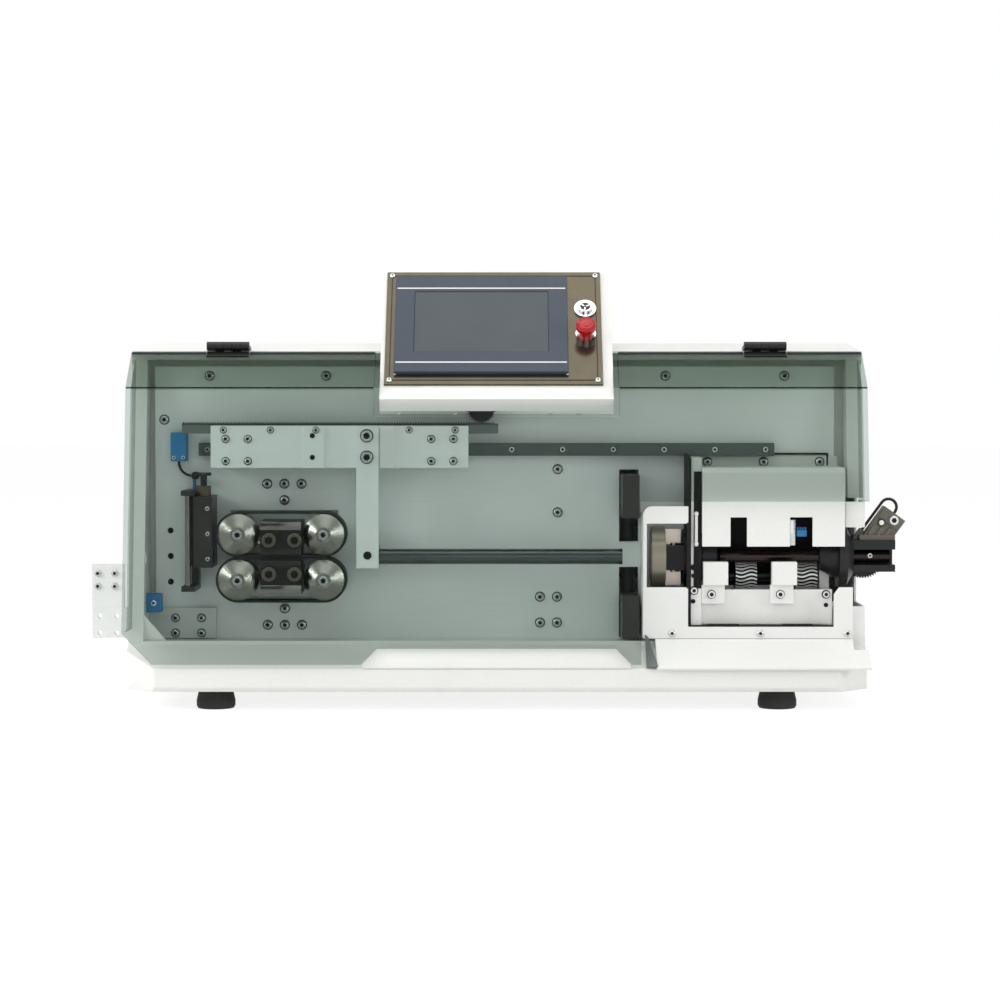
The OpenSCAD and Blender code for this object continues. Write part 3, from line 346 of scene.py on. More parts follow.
# hobbed rack: dark oiled teeth on a pale ground body
rackFinish = splitFinish("hobbedRackSteel", "Z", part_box("rack")[1].z - 3.4 * mm, "#6e7471", "#0c0d0d", 0.2)
# wave-cut gear: tips painted bright as a highlight, over gaps painted black as shade
gearFinish = splitFinish("gearTipHighlightGapShade", "", 17.2 * mm, "#0b0b0b", "#e2e4e2", 0.4, tuple(at(0, 102, 149)))
# painted shade: black with no shine, put in gaps and hollows where only shade falls
shadowFinish = surface("paintedShadeBlack", ("#040404", "#090909"), 0.9, grain=1.5)
# milled aluminium of the inlet plate, greyer than the paint beside it
inletFinish = surface("milledAluminium", ("#d3d6d4", "#e0e3e1"), 0.4, 0.15, grain=1.6, stretch=(0.08, 1, 1))
specialFinishes = {"blade_upper": nickelFinish, "blade_lower": nickelFinish,
                   "inlet_roller_front": rollerFinish, "inlet_roller_back": rollerFinish,
                   "feed_slide_upper": slideFinish, "feed_slide_lower": slideFinish,
                   "inlet_plate": inletFinish, "blade_rotor": rotorFinish}
specialFinishes.update({name: coneFinish for name in nodes if name.startswith("pulley")})

# folded and milled edges, in mm, for the box-like nodes
softEdges = {"console_box": 2.0, "base_tray": 1.6, "hood": 0.8, "chute": 0.5, "head_shroud": 0.5,
             "support_blocks": 0.8, "carriage_plate": 0.8, "hanging_arm": 1.0, "runner_blocks": 0.8,
             "panel_bezel": 1.2, "tube_holder": 0.8, "exit_sensor": 1.0, "sensors": 0.8}
slotOf = {row["node"]: row["material_slot"] for row in frame["record"]["subparts"]}
for nodeName, part in nodes.items():
    part.data.materials.clear()
    part.data.materials.append(specialFinishes.get(nodeName) or finishes[slotOf[nodeName]])
    if nodeName in softEdges:
        weld = part.modifiers.new("weld", "WELD")
        weld.merge_threshold = 0.00001
        edge = part.modifiers.new("softEdges", "BEVEL")
        edge.width = softEdges[nodeName] * mm
        edge.segments = 3
        edge.limit_method = "ANGLE"
        edge.angle_limit = math.radians(35)
        edge.use_clamp_overlap = True
        edge.harden_normals = True
print("materials set")

# Mesh helpers

facings = {"front": (0, -1, 0), "back": (0, 1, 0), "right": (1, 0, 0), "up": (0, 0, 1), "down": (0, 0, -1)}
consoleTilt = math.radians(40)
facings["console"] = (0, -math.cos(consoleTilt), math.sin(consoleTilt))


def facing(place, way, spin=0.0):
    turn = Vector(facings[way]).to_track_quat("Z", "Y").to_matrix().to_4x4()
    return Matrix.Translation(place) @ turn @ Matrix.Rotation(spin, 4, "Z")


def ring(radius, z, sides=0, count=24):
    points = []
    for i in range(count):
        a = 2 * math.pi * i / count
        r = radius
        if sides:
            step = 2 * math.pi / sides
            r = radius / math.cos((a + step / 2) % step - step / 2)
        points.append(Vector((r * math.cos(a), r * math.sin(a), z)) * mm)
    return points


def stackRings(bm, rings, place, dark=0):
    # dark gives the last band and the end face the piece's second material, black, as painted shade inside a
    # socket
    rows = [[bm.verts.new(place @ p) for p in row] for row in rings]
    for low, high in zip(rows, rows[1:]):
        for i in range(len(low)):
            j = (i + 1) % len(low)
            band = bm.faces.new((low[i], low[j], high[j], high[i]))
            band.material_index = 1 if dark and high is rows[-1] else 0
    bm.faces.new(list(reversed(rows[0])))
    bm.faces.new(rows[-1]).material_index = 1 if dark else 0


def buttonHead(bm, place, r, h):
    stackRings(bm, [ring(r, 0), ring(r, 0.25 * h), ring(0.9 * r, 0.7 * h), ring(0.66 * r, h),
                    ring(0.42 * r, h, 6), ring(0.4 * r, 0.35 * h, 6)], place, 1)


def socketCap(bm, place, r, h):
    stackRings(bm, [ring(r, 0), ring(r, 0.88 * h), ring(0.92 * r, h), ring(0.52 * r, h, 6),
                    ring(0.5 * r, 0.35 * h, 6)], place, 1)


def shadowRing(bm, place, r):
    # a thin black ring under the head, painted as the shadow round it, seen as a dark rim
    before = len(bm.faces)
    stackRings(bm, [ring(1.16 * r, 0), ring(1.16 * r, 0.3), ring(1.05 * r, 0.4)], place)
    bm.faces.ensure_lookup_table()
    for face in bm.faces[before:]:
        face.material_index = 1


def slab(bm, low, high, edge=0.0, place=None):
    made = bmesh.ops.create_cube(bm, size=1.0)["verts"]
    middle = (Vector(low) + Vector(high)) / 2
    span = Vector(high) - Vector(low)
    for v in made:
        v.co = Vector((v.co.x * span.x, v.co.y * span.y, v.co.z * span.z)) + middle
    if edge:
        edges = list({e for v in made for e in v.link_edges})
        bevelled = bmesh.ops.bevel(bm, geom=edges, offset=edge * mm, segments=2, profile=0.5, affect="EDGES")
        made = list({v for f in bevelled["faces"] for v in f.verts} | {v for v in made if v.is_valid})
    if place:
        bmesh.ops.transform(bm, matrix=place, verts=made)


def prism(bm, front, back):
    # joins two outlines with as many corners into a closed block
    rows = [[bm.verts.new(p) for p in outline] for outline in (front, back)]
    for i in range(len(front)):
        j = (i + 1) % len(front)
        bm.faces.new((rows[0][i], rows[0][j], rows[1][j], rows[1][i]))
    bm.faces.new(rows[0])
    bm.faces.new(list(reversed(rows[1])))


def strip(bm, x0, x1, low, high, thick):
    # a band of sheet from x0 to x1, between two edges given as depth and z
    ends = [low, high, (high[0] + thick, high[1]), (low[0] + thick, low[1])]
    prism(bm, *([at(x, depth, z) for depth, z in ends] for x in (x0, x1)))


def makePiece(name, bm, slotName, body, material=None, angle=38):
    mesh = bpy.data.meshes.new(name)
    bmesh.ops.recalc_face_normals(bm, faces=bm.faces)
    bm.to_mesh(mesh)
    bm.free()
    mesh.shade_smooth()
    mesh.set_sharp_from_angle(angle=math.radians(angle))
    piece = bpy.data.objects.new(name, mesh)
    mesh.materials.append(material or finishes[slotName])
    # the second material is black: painted shade in sockets and the shadow rings under screw heads, and the
    # power button's dark centre
    mesh.materials.append(finishes["black_metal"])
    bpy.context.collection.objects.link(piece)
    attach(piece, body)
    return piece


# Screws, as x and z on a face at a depth behind the front: steel button heads unless the row says otherwise

feedMiddle = {"x": -252, "z": 173}
plateSpots = [(feedMiddle["x"] + x, feedMiddle["z"] + side * z) for side in (-1, 1)
              for x, z in ((-20.3, 84), (0, 84), (20.3, 84), (0, 64.5))]
plateSpots += [(x, 385) for x in (-340, -202, 200, 341)]
plateSpots += [(72.4, 274.3), (72.4, 223), (51.6, 122.5), (71.8, 122.5), (51.6, 91.7), (71.8, 91.7),
               (-394, 333)]
screwGroups = [
    {"name": "runnerBolts", "body": "carriage", "depth": 83, "r": 4.2, "h": 2.6,
     "spots": [(x, z) for x in (-317.5, -291.5, -76.5, -50.5) for z in (285, 311)]},
    {"name": "rackBolts", "body": "carriage", "depth": 83, "r": 3.6, "h": 2.2,
     "spots": [(-320, 321.5), (-265, 321.5), (-102.5, 321.5), (-48.5, 321.5)]},
    {"name": "armBolts", "body": "carriage", "depth": 71, "r": 6.8, "h": 6.0, "head": socketCap,
     "spots": [(-151.5, 315), (-151.5, 290)]},
    {"name": "feedBoltsUpper", "body": "feed_upper", "depth": 64, "r": 8.4, "h": 5.0, "head": socketCap,
     "slot": "disc", "spots": [(-265.6, 193.3), (-235.6, 193.3)]},
    {"name": "feedBoltsLower", "body": "feed_lower", "depth": 64, "r": 8.4, "h": 5.0, "head": socketCap,
     "slot": "disc", "spots": [(-265.6, 153.6), (-235.6, 153.6)]},
    {"name": "inletBlockBolts", "body": "cabinet", "depth": 68, "r": 2.8, "h": 1.6,
     "spots": [(-337.5, 230), (-337.5, 200.5), (-337.5, 171)]},
    {"name": "inletPlateBolts", "body": "cabinet", "depth": 115, "r": 4.6, "h": 2.8,
     "spots": [(x, z) for x in (-381.2, -350.3) for z in (80, 98)]},
    {"name": "inletTabBolts", "body": "cabinet", "depth": 115, "r": 4.2, "h": 2.8, "rim": False,
     "spots": [(x, z) for x in (-473, -453) for z in (135.6, 151)]},
    {"name": "hoodBolts", "body": "cabinet", "depth": 120.5, "r": 5.0, "h": 3.0,
     "spots": [(x, 283.2) for x in (250, 316.5, 383)]},
    {"name": "shroudBolts", "body": "cabinet", "depth": 42, "r": 4.2, "h": 2.4, "rim": False,
     "spots": [(203.5, 86.5), (306, 86.5), (407, 86.5)]},
    {"name": "plateBolts", "body": "cabinet", "depth": 123, "r": 5.2, "h": 3.2,
     "replaces": "plate_screws", "spots": plateSpots},
    {"name": "backBolts", "body": "cabinet", "depth": 390, "r": 4.2, "h": 2.4,
     "way": "back",
     "spots": [(x, z) for x in (-412, -206, 0, 206, 412) for z in (90, 408)] + [(-412, 249), (412, 249)]},
    {"name": "armSetScrew", "body": "carriage", "depth": 71, "r": 4.2, "h": 1.2, "head": socketCap,
     "slot": "black_metal", "spots": [(-151, 175)]},
    {"name": "padBolt", "body": "carriage", "depth": 80, "r": 3.6, "h": 2.2,
     "spots": [(-211.5, 321.5)]},
    # black discs painted as the shade inside the pads' countersunk holes
    {"name": "padHoleShades", "body": "carriage", "depth": 80, "r": 2.6, "h": 0.8, "head": socketCap,
     "slot": "black_metal", "spots": [(-215.7, 314.9), (-215.7, 289.6)]},
    {"name": "supportBolts", "body": "cabinet", "depth": 53, "r": 4.4, "h": 3.0, "head": socketCap,
     "spots": [(250, 131), (330, 131)]},
]
for group in screwGroups:
    bm = bmesh.new()
    for i, (x, z) in enumerate(group["spots"]):
        place = facing(at(x, group["depth"], z), group.get("way", "front"), 0.4 * i)
        group.get("head", buttonHead)(bm, place, group["r"], group["h"])
        if group.get("rim", True):
            shadowRing(bm, place, group["r"])
    piece = makePiece(group["name"], bm, group.get("slot", "steel"), group["body"])
    if "replaces" in group:
        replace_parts(piece, group["replaces"])


def toothedRack():
    # the rack's bar, with its teeth relieved at the back so that the gaps stay open to the eye
    spec = {"x0": -370, "long": 372, "low": 317, "pitchZ": 330, "module": 1, "pinionX": -18, "thick": 10,
            "tooth": 2.5, "rootHalf": 1.05, "tipHalf": 0.28}
    depth = (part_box("rack")[0].y - frontY) / mm
    pitch = math.pi * spec["module"]
    root, tip = spec["pitchZ"] - 1.25 * spec["module"], spec["pitchZ"] + spec["module"]
    first = math.ceil((spec["x0"] - spec["pinionX"]) / pitch)
    wide, narrow = spec["rootHalf"], spec["tipHalf"]
    flank = [(-wide, root), (wide, root), (narrow, tip), (-narrow, tip)]
    bm = bmesh.new()
    slab(bm, at(spec["x0"], depth, spec["low"]),
         at(spec["x0"] + spec["long"], depth + spec["thick"], root), 0.1)
    for i in range(int(spec["long"] / pitch) - 1):
        x = spec["pinionX"] + (first + i + 0.5) * pitch
        prism(bm, *([at(x + side, d, z) for side, z in flank] for d in (depth, depth + spec["tooth"])))
    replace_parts(makePiece("toothedRack", bm, "dark_steel", "carriage", rackFinish, 20), "rack")


def recessCorner():
    # the slanted lower left corner of the front frame
    spec = {"corners": [(-412.5, 74), (-384, 74), (-412.5, 107)], "depth": (63, 66)}
    bm = bmesh.new()
    prism(bm, *([at(x, depth, z) for x, z in spec["corners"]] for depth in spec["depth"]))
    makePiece("recessCorner", bm, "white_paint", "cabinet")


def plateHoleShades():
    # black discs painted as the shade inside the open holes in the plate beside the inlet
    spec = {"x": -387.4, "depth": 123, "z": (201.4, 171.2, 140.3), "r": 3.4}
    bm = bmesh.new()
    for z in spec["z"]:
        stackRings(bm, [ring(spec["r"], 0), ring(spec["r"], 0.4), ring(spec["r"] - 0.4, 0.5)],
                   facing(at(spec["x"], spec["depth"], z), "front"))
    makePiece("plateHoleShades", bm, "black_metal", "cabinet", shadowFinish)


def railScrews():
    spec = {"first": -342, "pitch": 60, "count": 12, "depth": 112.5, "z": 298, "r": 3.3, "h": 2.6}
    bm = bmesh.new()
    for i in range(spec["count"]):
        spot = at(spec["first"] + i * spec["pitch"], spec["depth"], spec["z"])
        socketCap(bm, facing(spot, "front"), spec["r"], spec["h"])
    makePiece("railScrews", bm, "steel", "cabinet")


toothedRack()
recessCorner()
plateHoleShades()
railScrews()


def pulleyBolts():
    # a countersunk socket bolt in the point of each pulley
    for name in ("upper_left", "upper_right", "lower_left", "lower_right"):
        low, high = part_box("pulley_" + name)
        middle = (low + high) / 2
        bm = bmesh.new()
        socketCap(bm, facing(Vector((middle.x, low.y + 1.5 * mm, middle.z)), "front", 0.3), 5.6, 4.0)
        side, end = name.split("_")
        makePiece("pulleyBolt" + side.title() + end.title(), bm, "steel", "pulley_" + name)


pulleyBolts()
print("screws placed")

# Cover trim: the black seal along the hinge line, between the hinges and the console

coverTrim = {"foldDepth": 52, "foldZ": 371, "hingeDepth": 106, "hingeZ": 414, "from": 62.6, "to": 65.8,
             "thick": 1.6, "bead": (0.3, 1.1), "beads": [(-429.5, -143), (143, 429.5)],
             "runs": [(-429, -342), (-290, -143), (143, 290), (342, 429)]}


def makeCoverTrim():
    spec = coverTrim
    lean = math.atan2(spec["hingeDepth"] - spec["foldDepth"], spec["hingeZ"] - spec["foldZ"])
    place = Matrix.Translation(at(0, spec["foldDepth"], spec["foldZ"])) @ Matrix.Rotation(-lean, 4, "X")
    bm = bmesh.new()
    for x0, x1 in spec["runs"]:
        slab(bm, (x0 * mm, -spec["thick"] * mm, spec["from"] * mm), (x1 * mm, 0, spec["to"] * mm), 0.4, place)
    makePiece("coverTrim", bm, "black_metal", "cover")
    # a strip of darker smoked sheet along the fold, painted as the dark line of the bend
    bm = bmesh.new()
    for x0, x1 in spec["beads"]:
        out, up = spec["bead"]
        slab(bm, (x0 * mm, -out * mm, -up * mm), (x1 * mm, out * mm, up * mm), 0.1, place)
    makePiece("coverFoldShadeLine", bm, "tint", "cover", foldShadeFinish)


makeCoverTrim()

# Raised step of the sill, which fills the finger cut-out of the cover

# front and back give a depth at the foot and how it leans back with height
sillStep = {"outline": [(-154.2, 49.6), (154.2, 49.6), (154.2, 54.9), (136.9, 72.2), (-136.9, 72.2),
                        (-154.2, 54.9)],
            "foot": 49.6, "front": (4.6, 0.168), "back": (7.3, 2.168), "edge": 0.5}


def makeSillStep():
    spec = sillStep
    bm = bmesh.new()
    prism(bm, *([at(x, start + lean * (z - spec["foot"]), z) for x, z in spec["outline"]]
                for start, lean in (spec["front"], spec["back"])))
    bmesh.ops.bevel(bm, geom=list(bm.edges), offset=spec["edge"] * mm, segments=2, profile=0.5,
                    affect="EDGES")
    makePiece("sillStep", bm, "white_paint", "cabinet")


makeSillStep()

# Belt drives: a dark bar from each block down to its belt, painted as the shade there, and a mid-grey face on
# the block's other half, painted as the plate in shade behind the block

feedFill = {"x": (-276, -228), "barDepth": (65, 108), "bar": (14.8, 23.4), "faceDepth": (63.2, 64.6),
            "face": (5.5, 15.3),
            "drives": {"Upper": ("feed_upper", 199.75, 1), "Lower": ("feed_lower", 146.25, -1)}}


def makeFeedFill():
    spec = feedFill
    for side, (body, axis, away) in spec["drives"].items():
        for name, reach, depth, way, slotName, finish in (
                ("feedShadeBar", spec["bar"], spec["barDepth"], -away, "dark_block", None),
                ("feedShadedPlateFace", spec["face"], spec["faceDepth"], away, "dark_steel", rollerFinish)):
            low, high = sorted(axis + way * r for r in reach)
            bm = bmesh.new()
            slab(bm, at(spec["x"][0], depth[0], low), at(spec["x"][1], depth[1], high), 0.4)
            makePiece(name + side, bm, slotName, body, finish)


makeFeedFill()

# Console dress: inset line, corner screws, panel stripes, button faces

console = {"depth": 49, "z": 358, "plate": (-131, 20, 124, 195), "inset": 5.5, "line": 1.2,
           "bezel": (-120, 34, 84, 184), "stripes": [(47.5, 1.7), (163, 1.7)],
           "button": (105, 135), "estop": (105, 93)}
consoleFoot = Matrix.Translation(at(0, console["depth"], console["z"]))
consolePlace = consoleFoot @ Matrix.Rotation(-consoleTilt, 4, "X")


def onConsole(x, out, up):
    return consolePlace @ Vector((x * mm, -out * mm, up * mm))


def insetLine():
    x0, z0, x1, z1 = console["plate"]
    gap, w = console["inset"], console["line"]
    bm = bmesh.new()
    bars = [(x0 + gap, z0 + gap, x1 - gap, z0 + gap + w), (x0 + gap, z1 - gap - w, x1 - gap, z1 - gap),
            (x0 + gap, z0 + gap + w, x0 + gap + w, z1 - gap - w),
            (x1 - gap - w, z0 + gap + w, x1 - gap, z1 - gap - w)]
    for a, b, c, d in bars:
        slab(bm, (a * mm, -3.4 * mm, b * mm), (c * mm, -2.9 * mm, d * mm), 0.1, consolePlace)
    makePiece("consoleInsetLine", bm, "black_metal", "cabinet")


def consoleScrews():
    spec = {"inset": 6, "under": (-114, -48, 62, 96), "underDepth": 72, "underZ": 341.2}
    x0, z0, x1, z1 = console["plate"]
    bm = bmesh.new()
    for x in (x0 + spec["inset"], x1 - spec["inset"]):
        for z in (z0 + spec["inset"], z1 - spec["inset"]):
            buttonHead(bm, facing(onConsole(x, 3, z), "console"), 3.4, 2.0)
    makePiece("consoleScrews", bm, "chrome", "cabinet")
    bm = bmesh.new()
    for x in spec["under"]:
        buttonHead(bm, facing(at(x, spec["underDepth"], spec["underZ"]), "down"), 2.8, 1.8)
    makePiece("consoleUnderScrews", bm, "steel", "cabinet")


def panelStripes():
    spec = {"stripeInset": 2, "stripeOut": (9.25, 8.9), "clipInset": 1.6}
    x0, z0, x1, z1 = console["bezel"]
    front, back = spec["stripeOut"]
    bm = bmesh.new()
    for z, w in console["stripes"]:
        slab(bm, ((x0 + spec["stripeInset"]) * mm, -front * mm, z * mm),
             ((x1 - spec["stripeInset"]) * mm, -back * mm, (z + w) * mm), 0.08, consolePlace)
    makePiece("panelStripes", bm, "white_paint", "cabinet")
    bm = bmesh.new()
    for x in (x0 + spec["clipInset"], x1 - spec["clipInset"]):
        stackRings(bm, [ring(2.2, 0), ring(2.2, 1.0), ring(1.6, 1.8), ring(0.5, 2.0)],
                   facing(onConsole(x, 3, z0 + spec["clipInset"]), "console"))
    makePiece("bezelClips", bm, "chrome", "cabinet")


def buttonFaces():
    # each profile is radius and height, from the rim inwards
    spec = {"powerOut": 8.5, "spokes": (0.4, 2.5, 4.6), "stopOut": 24,
            "power": [(8.6, 0), (8.6, 0.6), (8.0, 1.0), (6.2, 1.0), (5.8, 0.5), (1.0, 0.5)],
            "stop": [(11.0, -0.4), (11.6, 0.2), (10.6, 2.0), (8.2, 3.0), (7.4, 2.6), (6.4, 2.6), (5.4, 3.2),
                     (2.5, 3.6), (0.4, 3.6)]}
    x, z = console["button"]
    bm = bmesh.new()
    stackRings(bm, [ring(r, h) for r, h in spec["power"]],
               facing(onConsole(x, spec["powerOut"], z), "console"), 1)
    for turn in spec["spokes"]:
        slab(bm, (1.2 * mm, -0.8 * mm, 0.3 * mm), (5.2 * mm, 0.8 * mm, 0.9 * mm), 0.2,
             facing(onConsole(x, spec["powerOut"], z), "console", turn))
    makePiece("powerButtonFace", bm, "chrome", "power_button")
    x, z = console["estop"]
    bm = bmesh.new()
    stackRings(bm, [ring(r, h) for r, h in spec["stop"]], facing(onConsole(x, spec["stopOut"], z), "console"))
    makePiece("stopButtonCrown", bm, "red", "estop_button")


def consoleCollar():
    # smoked sheet fixed round the console, which fills the notch of the cover
    spec = {"inner": 135.6, "outer": 142.4, "low": 338.4, "under": 341, "fold": (52, 371),
            "hinge": (103, 411.6), "foot": (0, 53), "thick": 3}
    (foldDepth, foldZ), (footDepth, footZ) = spec["fold"], spec["foot"]
    lean = (foldDepth - footDepth) / (foldZ - footZ)
    bm = bmesh.new()

    def sheet(x0, x1, z0, z1):
        low, high = footDepth + lean * (z0 - footZ), footDepth + lean * (z1 - footZ)
        strip(bm, x0, x1, (low, z0), (high, z1), spec["thick"])

    for side in (-1, 1):
        x0, x1 = sorted((side * spec["inner"], side * spec["outer"]))
        sheet(x0, x1, spec["under"], foldZ)
        strip(bm, x0, x1, spec["fold"], spec["hinge"], spec["thick"])
    sheet(-spec["outer"], spec["outer"], spec["low"], spec["under"] - 0.2)
    makePiece("consoleCollar", bm, "tint", "cabinet")


consoleCollar()
insetLine()
consoleScrews()
panelStripes()
buttonFaces()
print("console dressed")

# Cutting head dress

headSeamShade = {"x0": 222.6, "x1": 391, "z1": 291.5, "wide": 2.2, "depth": 120.4, "plate": 123, "sideFoot": 242,
            "left": (46, 122.8, 96), "notches": [(246, 282), (333, 367)]}


def makeHeadSeam():
    # black slabs painted as the shade in the gaps round the head's opening in the plate
    spec = headSeamShade
    x0, x1, top, wide = spec["x0"], spec["x1"], spec["z1"], spec["wide"]
    bm = bmesh.new()
    for a, b, c, d in ((x0, top, x1, top + wide), (x1, spec["sideFoot"], x1 + wide, top + wide)):
        slab(bm, at(a, spec["depth"], b), at(c, spec["plate"], d), 0.3)
    near, far, foot = spec["left"]
    slab(bm, at(x0 - 0.2, near, foot), at(x0 + 2.0, far, top + wide), 0.3)
    for a, b in spec["notches"]:
        slab(bm, at(a, 44, 94.3), at(b, 52, 97), 0.3)
    slab(bm, at(223, 44.6, 93.8), at(391, 50, 95.6), 0.3)
    # the dark edge beside the blade window, painted shade as well
    slab(bm, at(220.2, 41.2, 139), at(224.6, 41.9, 215), 0.2)
    makePiece("headSeamShade", bm, "black_metal", "cabinet", shadowFinish)


def headColumn():
    # the slot beside the hood and its holes, drawn black as painted shade, with its lever and bolts; spots
    # are x, depth and z
    spec = {"slot": ((229, 51.3, 138), (238, 51.9, 274)), "holes": [(162.6, 3.4), (152.8, 2.4), (123, 2.6)],
            "lever": ((230, 48.5, 187), (233.6, 51.2, 227)), "pins": (190, 225),
            "bolts": [(229.5, 52, 135.5), (384, 60, 130.5)]}
    bm = bmesh.new()
    slab(bm, *(at(*corner) for corner in spec["slot"]), 0.2)
    for z, r in spec["holes"]:
        stackRings(bm, [ring(r, 0), ring(r, 0.9), ring(r - 0.5, 1.0)], facing(at(228.6, 52, z), "front"))
    stackRings(bm, [ring(2.6, 0), ring(2.6, 0.5), ring(2.0, 0.6)], facing(at(384, 60, 118), "front"))
    makePiece("headSlotShade", bm, "black_metal", "cabinet", shadowFinish)
    bm = bmesh.new()
    slab(bm, *(at(*corner) for corner in spec["lever"]), 0.6)
    for z in spec["pins"]:
        stackRings(bm, [ring(2.6, 0), ring(2.6, 3), ring(1.6, 4)], facing(at(231.8, 51.2, z), "front"))
    makePiece("headLever", bm, "white_paint", "cabinet")
    bm = bmesh.new()
    for spot in spec["bolts"]:
        place = facing(at(*spot), "front")
        socketCap(bm, place, 4.0, 3.2)
        shadowRing(bm, place, 4.4)
    makePiece("headColumnBolts", bm, "steel", "cabinet")


# plain sheets of the head, as two corners each of x, depth and z
headSheets = {
    # black sheets painted as the shade behind the hood's notches and behind the gears
    "hoodShadeSheets": {"slot": "black_metal", "finish": shadowFinish, "edge": 0.2,
                  "sheets": [((261, 108, 169), (379, 109, 246)), ((261, 121.2, 136.5), (379, 122.6, 168))]},
    # painted strip that closes the hollow edge beside the hood
    "exitJamb": {"slot": "white_paint", "finish": None, "edge": 0.3,
                 "sheets": [((404.8, 50, 209.2), (427.5, 51.5, 239)),
                            ((426, 51.5, 209.2), (427.5, 97, 239))]},
    # metal strip beside the blue plug, seen through the hood's right notch
    "connectorStrip": {"slot": "steel", "finish": None, "edge": 0.6,
                       "sheets": [((340, 52, 188), (347, 54, 218))]},
}


def makeHeadSheets():
    for name, spec in headSheets.items():
        bm = bmesh.new()
        for low, high in spec["sheets"]:
            slab(bm, at(*low), at(*high), spec["edge"])
        makePiece(name, bm, spec["slot"], "cabinet", spec["finish"])


def waveGears():
    # the two gears of the lay shaft, with teeth that wave across their width
    spec = {"starts": (281, 352), "wide": 25, "steps": 12, "teeth": 24, "tip": 18, "root": 15.4, "wave": 0.09,
            "depth": 102, "z": 149, "shaft": 6, "shaftFrom": 227, "shaftTo": 389}
    bm = bmesh.new()
    for start in spec["starts"]:
        rows = []
        for k in range(spec["steps"] + 1):
            x = start + spec["wide"] * k / spec["steps"]
            turn = spec["wave"] * math.sin(2 * math.pi * k / spec["steps"])
            row = []
            for i in range(spec["teeth"]):
                for part, end in ((0.04, "root"), (0.32, "root"), (0.48, "tip"), (0.88, "tip")):
                    r = spec[end]
                    a = 2 * math.pi * (i + part) / spec["teeth"] + turn
                    row.append(at(x, spec["depth"] + r * math.cos(a), spec["z"] + r * math.sin(a)))
            rows.append(row)
        stackRings(bm, rows, Matrix.Identity(4))
    stackRings(bm, [ring(spec["shaft"], 0), ring(spec["shaft"], spec["shaftTo"] - spec["shaftFrom"])],
               facing(at(spec["shaftFrom"], spec["depth"], spec["z"]), "right"))
    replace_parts(makePiece("waveGears", bm, "steel", "gear_shaft", gearFinish, 25), "gear_shaft")


def bluePlug():
    spec = {"body": ((349, 56, 198), (361, 66, 206)), "pins": (350.5, 353.5, 356.5, 359.5), "pinHalf": 0.9}
    bm = bmesh.new()
    slab(bm, *(at(*corner) for corner in spec["body"]), 0.8)
    for x in spec["pins"]:
        slab(bm, at(x - spec["pinHalf"], 57, 206), at(x + spec["pinHalf"], 62, 209), 0.3)
    makePiece("bluePlug", bm, "blue", "cabinet")


def chuteGusset():
    # the folded corner that closes the gap between the shroud and the chute
    spec = {"corners": [(172, 43, 86), (176, 40, 82), (185, 1.5, 53.5), (185, 1.5, 51.5), (172, 5, 51)],
            "thick": 1.5}
    bm = bmesh.new()
    prism(bm, *([at(x, depth + back, z) for x, depth, z in spec["corners"]] for back in (0, spec["thick"])))
    makePiece("chuteGusset", bm, "dark_steel", "cabinet")


makeHeadSeam()
chuteGusset()
headColumn()
makeHeadSheets()
waveGears()
bluePlug()

# Exit sensor dress

sensorEye = {"x": 454.3, "depth": 76, "z": 232.7, "lean": math.radians(36)}


def exitDress():
    # cooling ribs, bolt and ring on the leaning sensor head
    eye = sensorEye
    place = Matrix.Translation(at(eye["x"], eye["depth"], eye["z"])) @ Matrix.Rotation(eye["lean"], 4, "Y")
    bm = bmesh.new()
    for x, low, high in ((2, -38, -24), (10.5, -32, -21), (19, -27, -17)):
        slab(bm, (x * mm, -2.2 * mm, low * mm), ((x + 4.6) * mm, 0.2 * mm, high * mm), 0.7, place)
    slab(bm, (0.5 * mm, -2.0 * mm, -15 * mm), (29.5 * mm, 0.2 * mm, -0.4 * mm), 0.9, place)
    makePiece("sensorRibs", bm, "grey_cast", "cabinet")
    bm = bmesh.new()
    turn = place @ Matrix.Rotation(math.radians(90), 4, "X")
    socketCap(bm, turn @ Matrix.Translation(Vector((18, -7.5, 1.8)) * mm), 5.4, 4.4)
    makePiece("sensorScrew", bm, "steel", "cabinet")
    bm = bmesh.new()
    stackRings(bm, [ring(4.4, 0), ring(4.4, 1.0), ring(3.4, 1.2)],
               turn @ Matrix.Translation(Vector((8, -18, 1.6)) * mm))
    makePiece("sensorRing", bm, "black_metal", "cabinet")
    bm = bmesh.new()
    stackRings(bm, [ring(3.0, 0), ring(3.0, 0.5), ring(2.2, 0.8)],
               turn @ Matrix.Translation(Vector((8, -18, 2.7)) * mm))
    makePiece("sensorLens", bm, "white_paint", "cabinet")
    bm = bmesh.new()
    socketCap(bm, facing(at(437.5, wireDepth - 7.4, 174.5), "front"), 2.8, 0.8)
    makePiece("exitSetScrew", bm, "steel", "cabinet")


exitDress()
print("head dressed")

# Screws of the switch blocks, the clamp grip and short leads


def switchScrews():
    bm = bmesh.new()
    for x, depth, z, r in ((-381, 107, 288.5, 2.6), (-370, 107, 288.5, 2.6), (-403, 84, 118, 3.6)):
        buttonHead(bm, facing(at(x, depth, z), "front"), r, 1.6)
    makePiece("switchScrews", bm, "chrome", "cabinet")


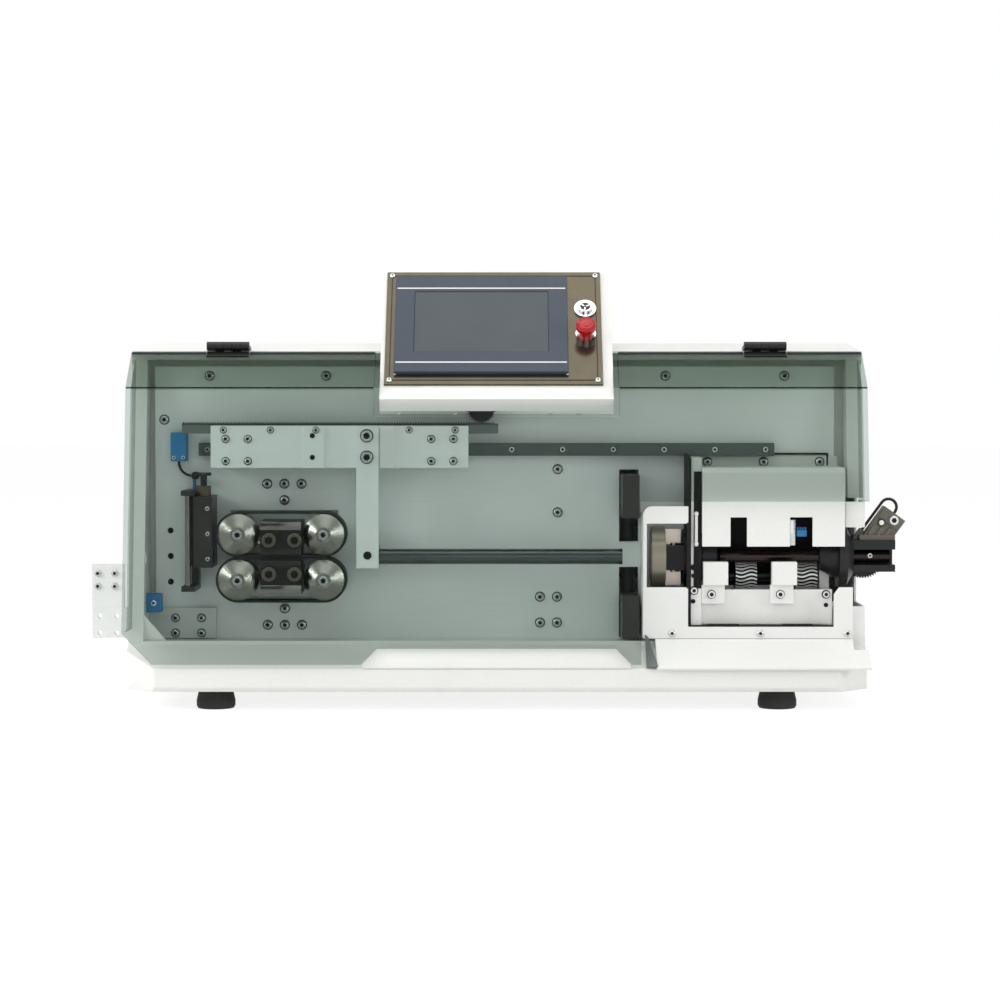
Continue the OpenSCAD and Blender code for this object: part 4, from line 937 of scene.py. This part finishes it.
def lead(name, points, diameter):
    # a short sensor cable, laid along the same line as its solid
    curve = bpy.data.curves.new(name, "CURVE")
    curve.dimensions = "3D"
    curve.bevel_depth = diameter / 2 * mm
    curve.bevel_resolution = 4
    curve.use_fill_caps = True
    spline = curve.splines.new("POLY")
    spline.points.add(len(points) - 1)
    for knot, p in zip(spline.points, points):
        knot.co = (*at(*p), 1)
    piece = bpy.data.objects.new(name, curve)
    curve.materials.append(finishes["rubber"])
    bpy.context.collection.objects.link(piece)
    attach(piece, "cabinet")
    return piece


def arc(middle, radius, start, end, count=20):
    turns = [math.radians(start + (end - start) * i / count) for i in range(count + 1)]
    return [(middle[0] + radius * math.cos(t), middle[1] + radius * math.sin(t)) for t in turns]


def leads():
    spec = {"x": -376, "depth": 115, "z": 284, "drop": 1.4, "bend": 15.6, "wide": 3.0}
    middle = (spec["x"] + spec["bend"], spec["z"] - spec["drop"])
    line = [(spec["x"], spec["z"])] + arc(middle, spec["bend"], 180, 270)
    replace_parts(lead("sensorLead", [(x, spec["depth"], z) for x, z in line], spec["wide"]), "sensor_lead")
    eye = sensorEye
    line = [(15, 0)] + arc((5.5, 2), 9.5, 0, 180) + [(-4, z) for z in (-10, -20, -30, -37.2)]
    turn = [(eye["x"] + x * math.cos(eye["lean"]) + z * math.sin(eye["lean"]), eye["depth"] + 10,
             eye["z"] - x * math.sin(eye["lean"]) + z * math.cos(eye["lean"])) for x, z in line]
    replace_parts(lead("exitLead", turn, 3.5), "exit_lead")
    bm = bmesh.new()
    stackRings(bm, [ring(2.0, 0), ring(2.0, 11.6)], facing(at(-358, 117, 251), "up"))
    makePiece("leadSleeve", bm, "blue", "cabinet")


def clampGrip():
    # black grip and neck of the T-handle
    bm = bmesh.new()
    stackRings(bm, [ring(1.4, 0), ring(2.0, 0.6), ring(2.0, 17.4), ring(1.4, 18)],
               facing(at(-352, 80, 270), "right"))
    stackRings(bm, [ring(3.9, 0), ring(3.9, 12.5), ring(3.3, 13)], facing(at(-343, 80, 256.6), "up"))
    makePiece("clampGrip", bm, "black_metal", "clamp_screw")


leads()
clampGrip()
switchScrews()
print("small parts placed")
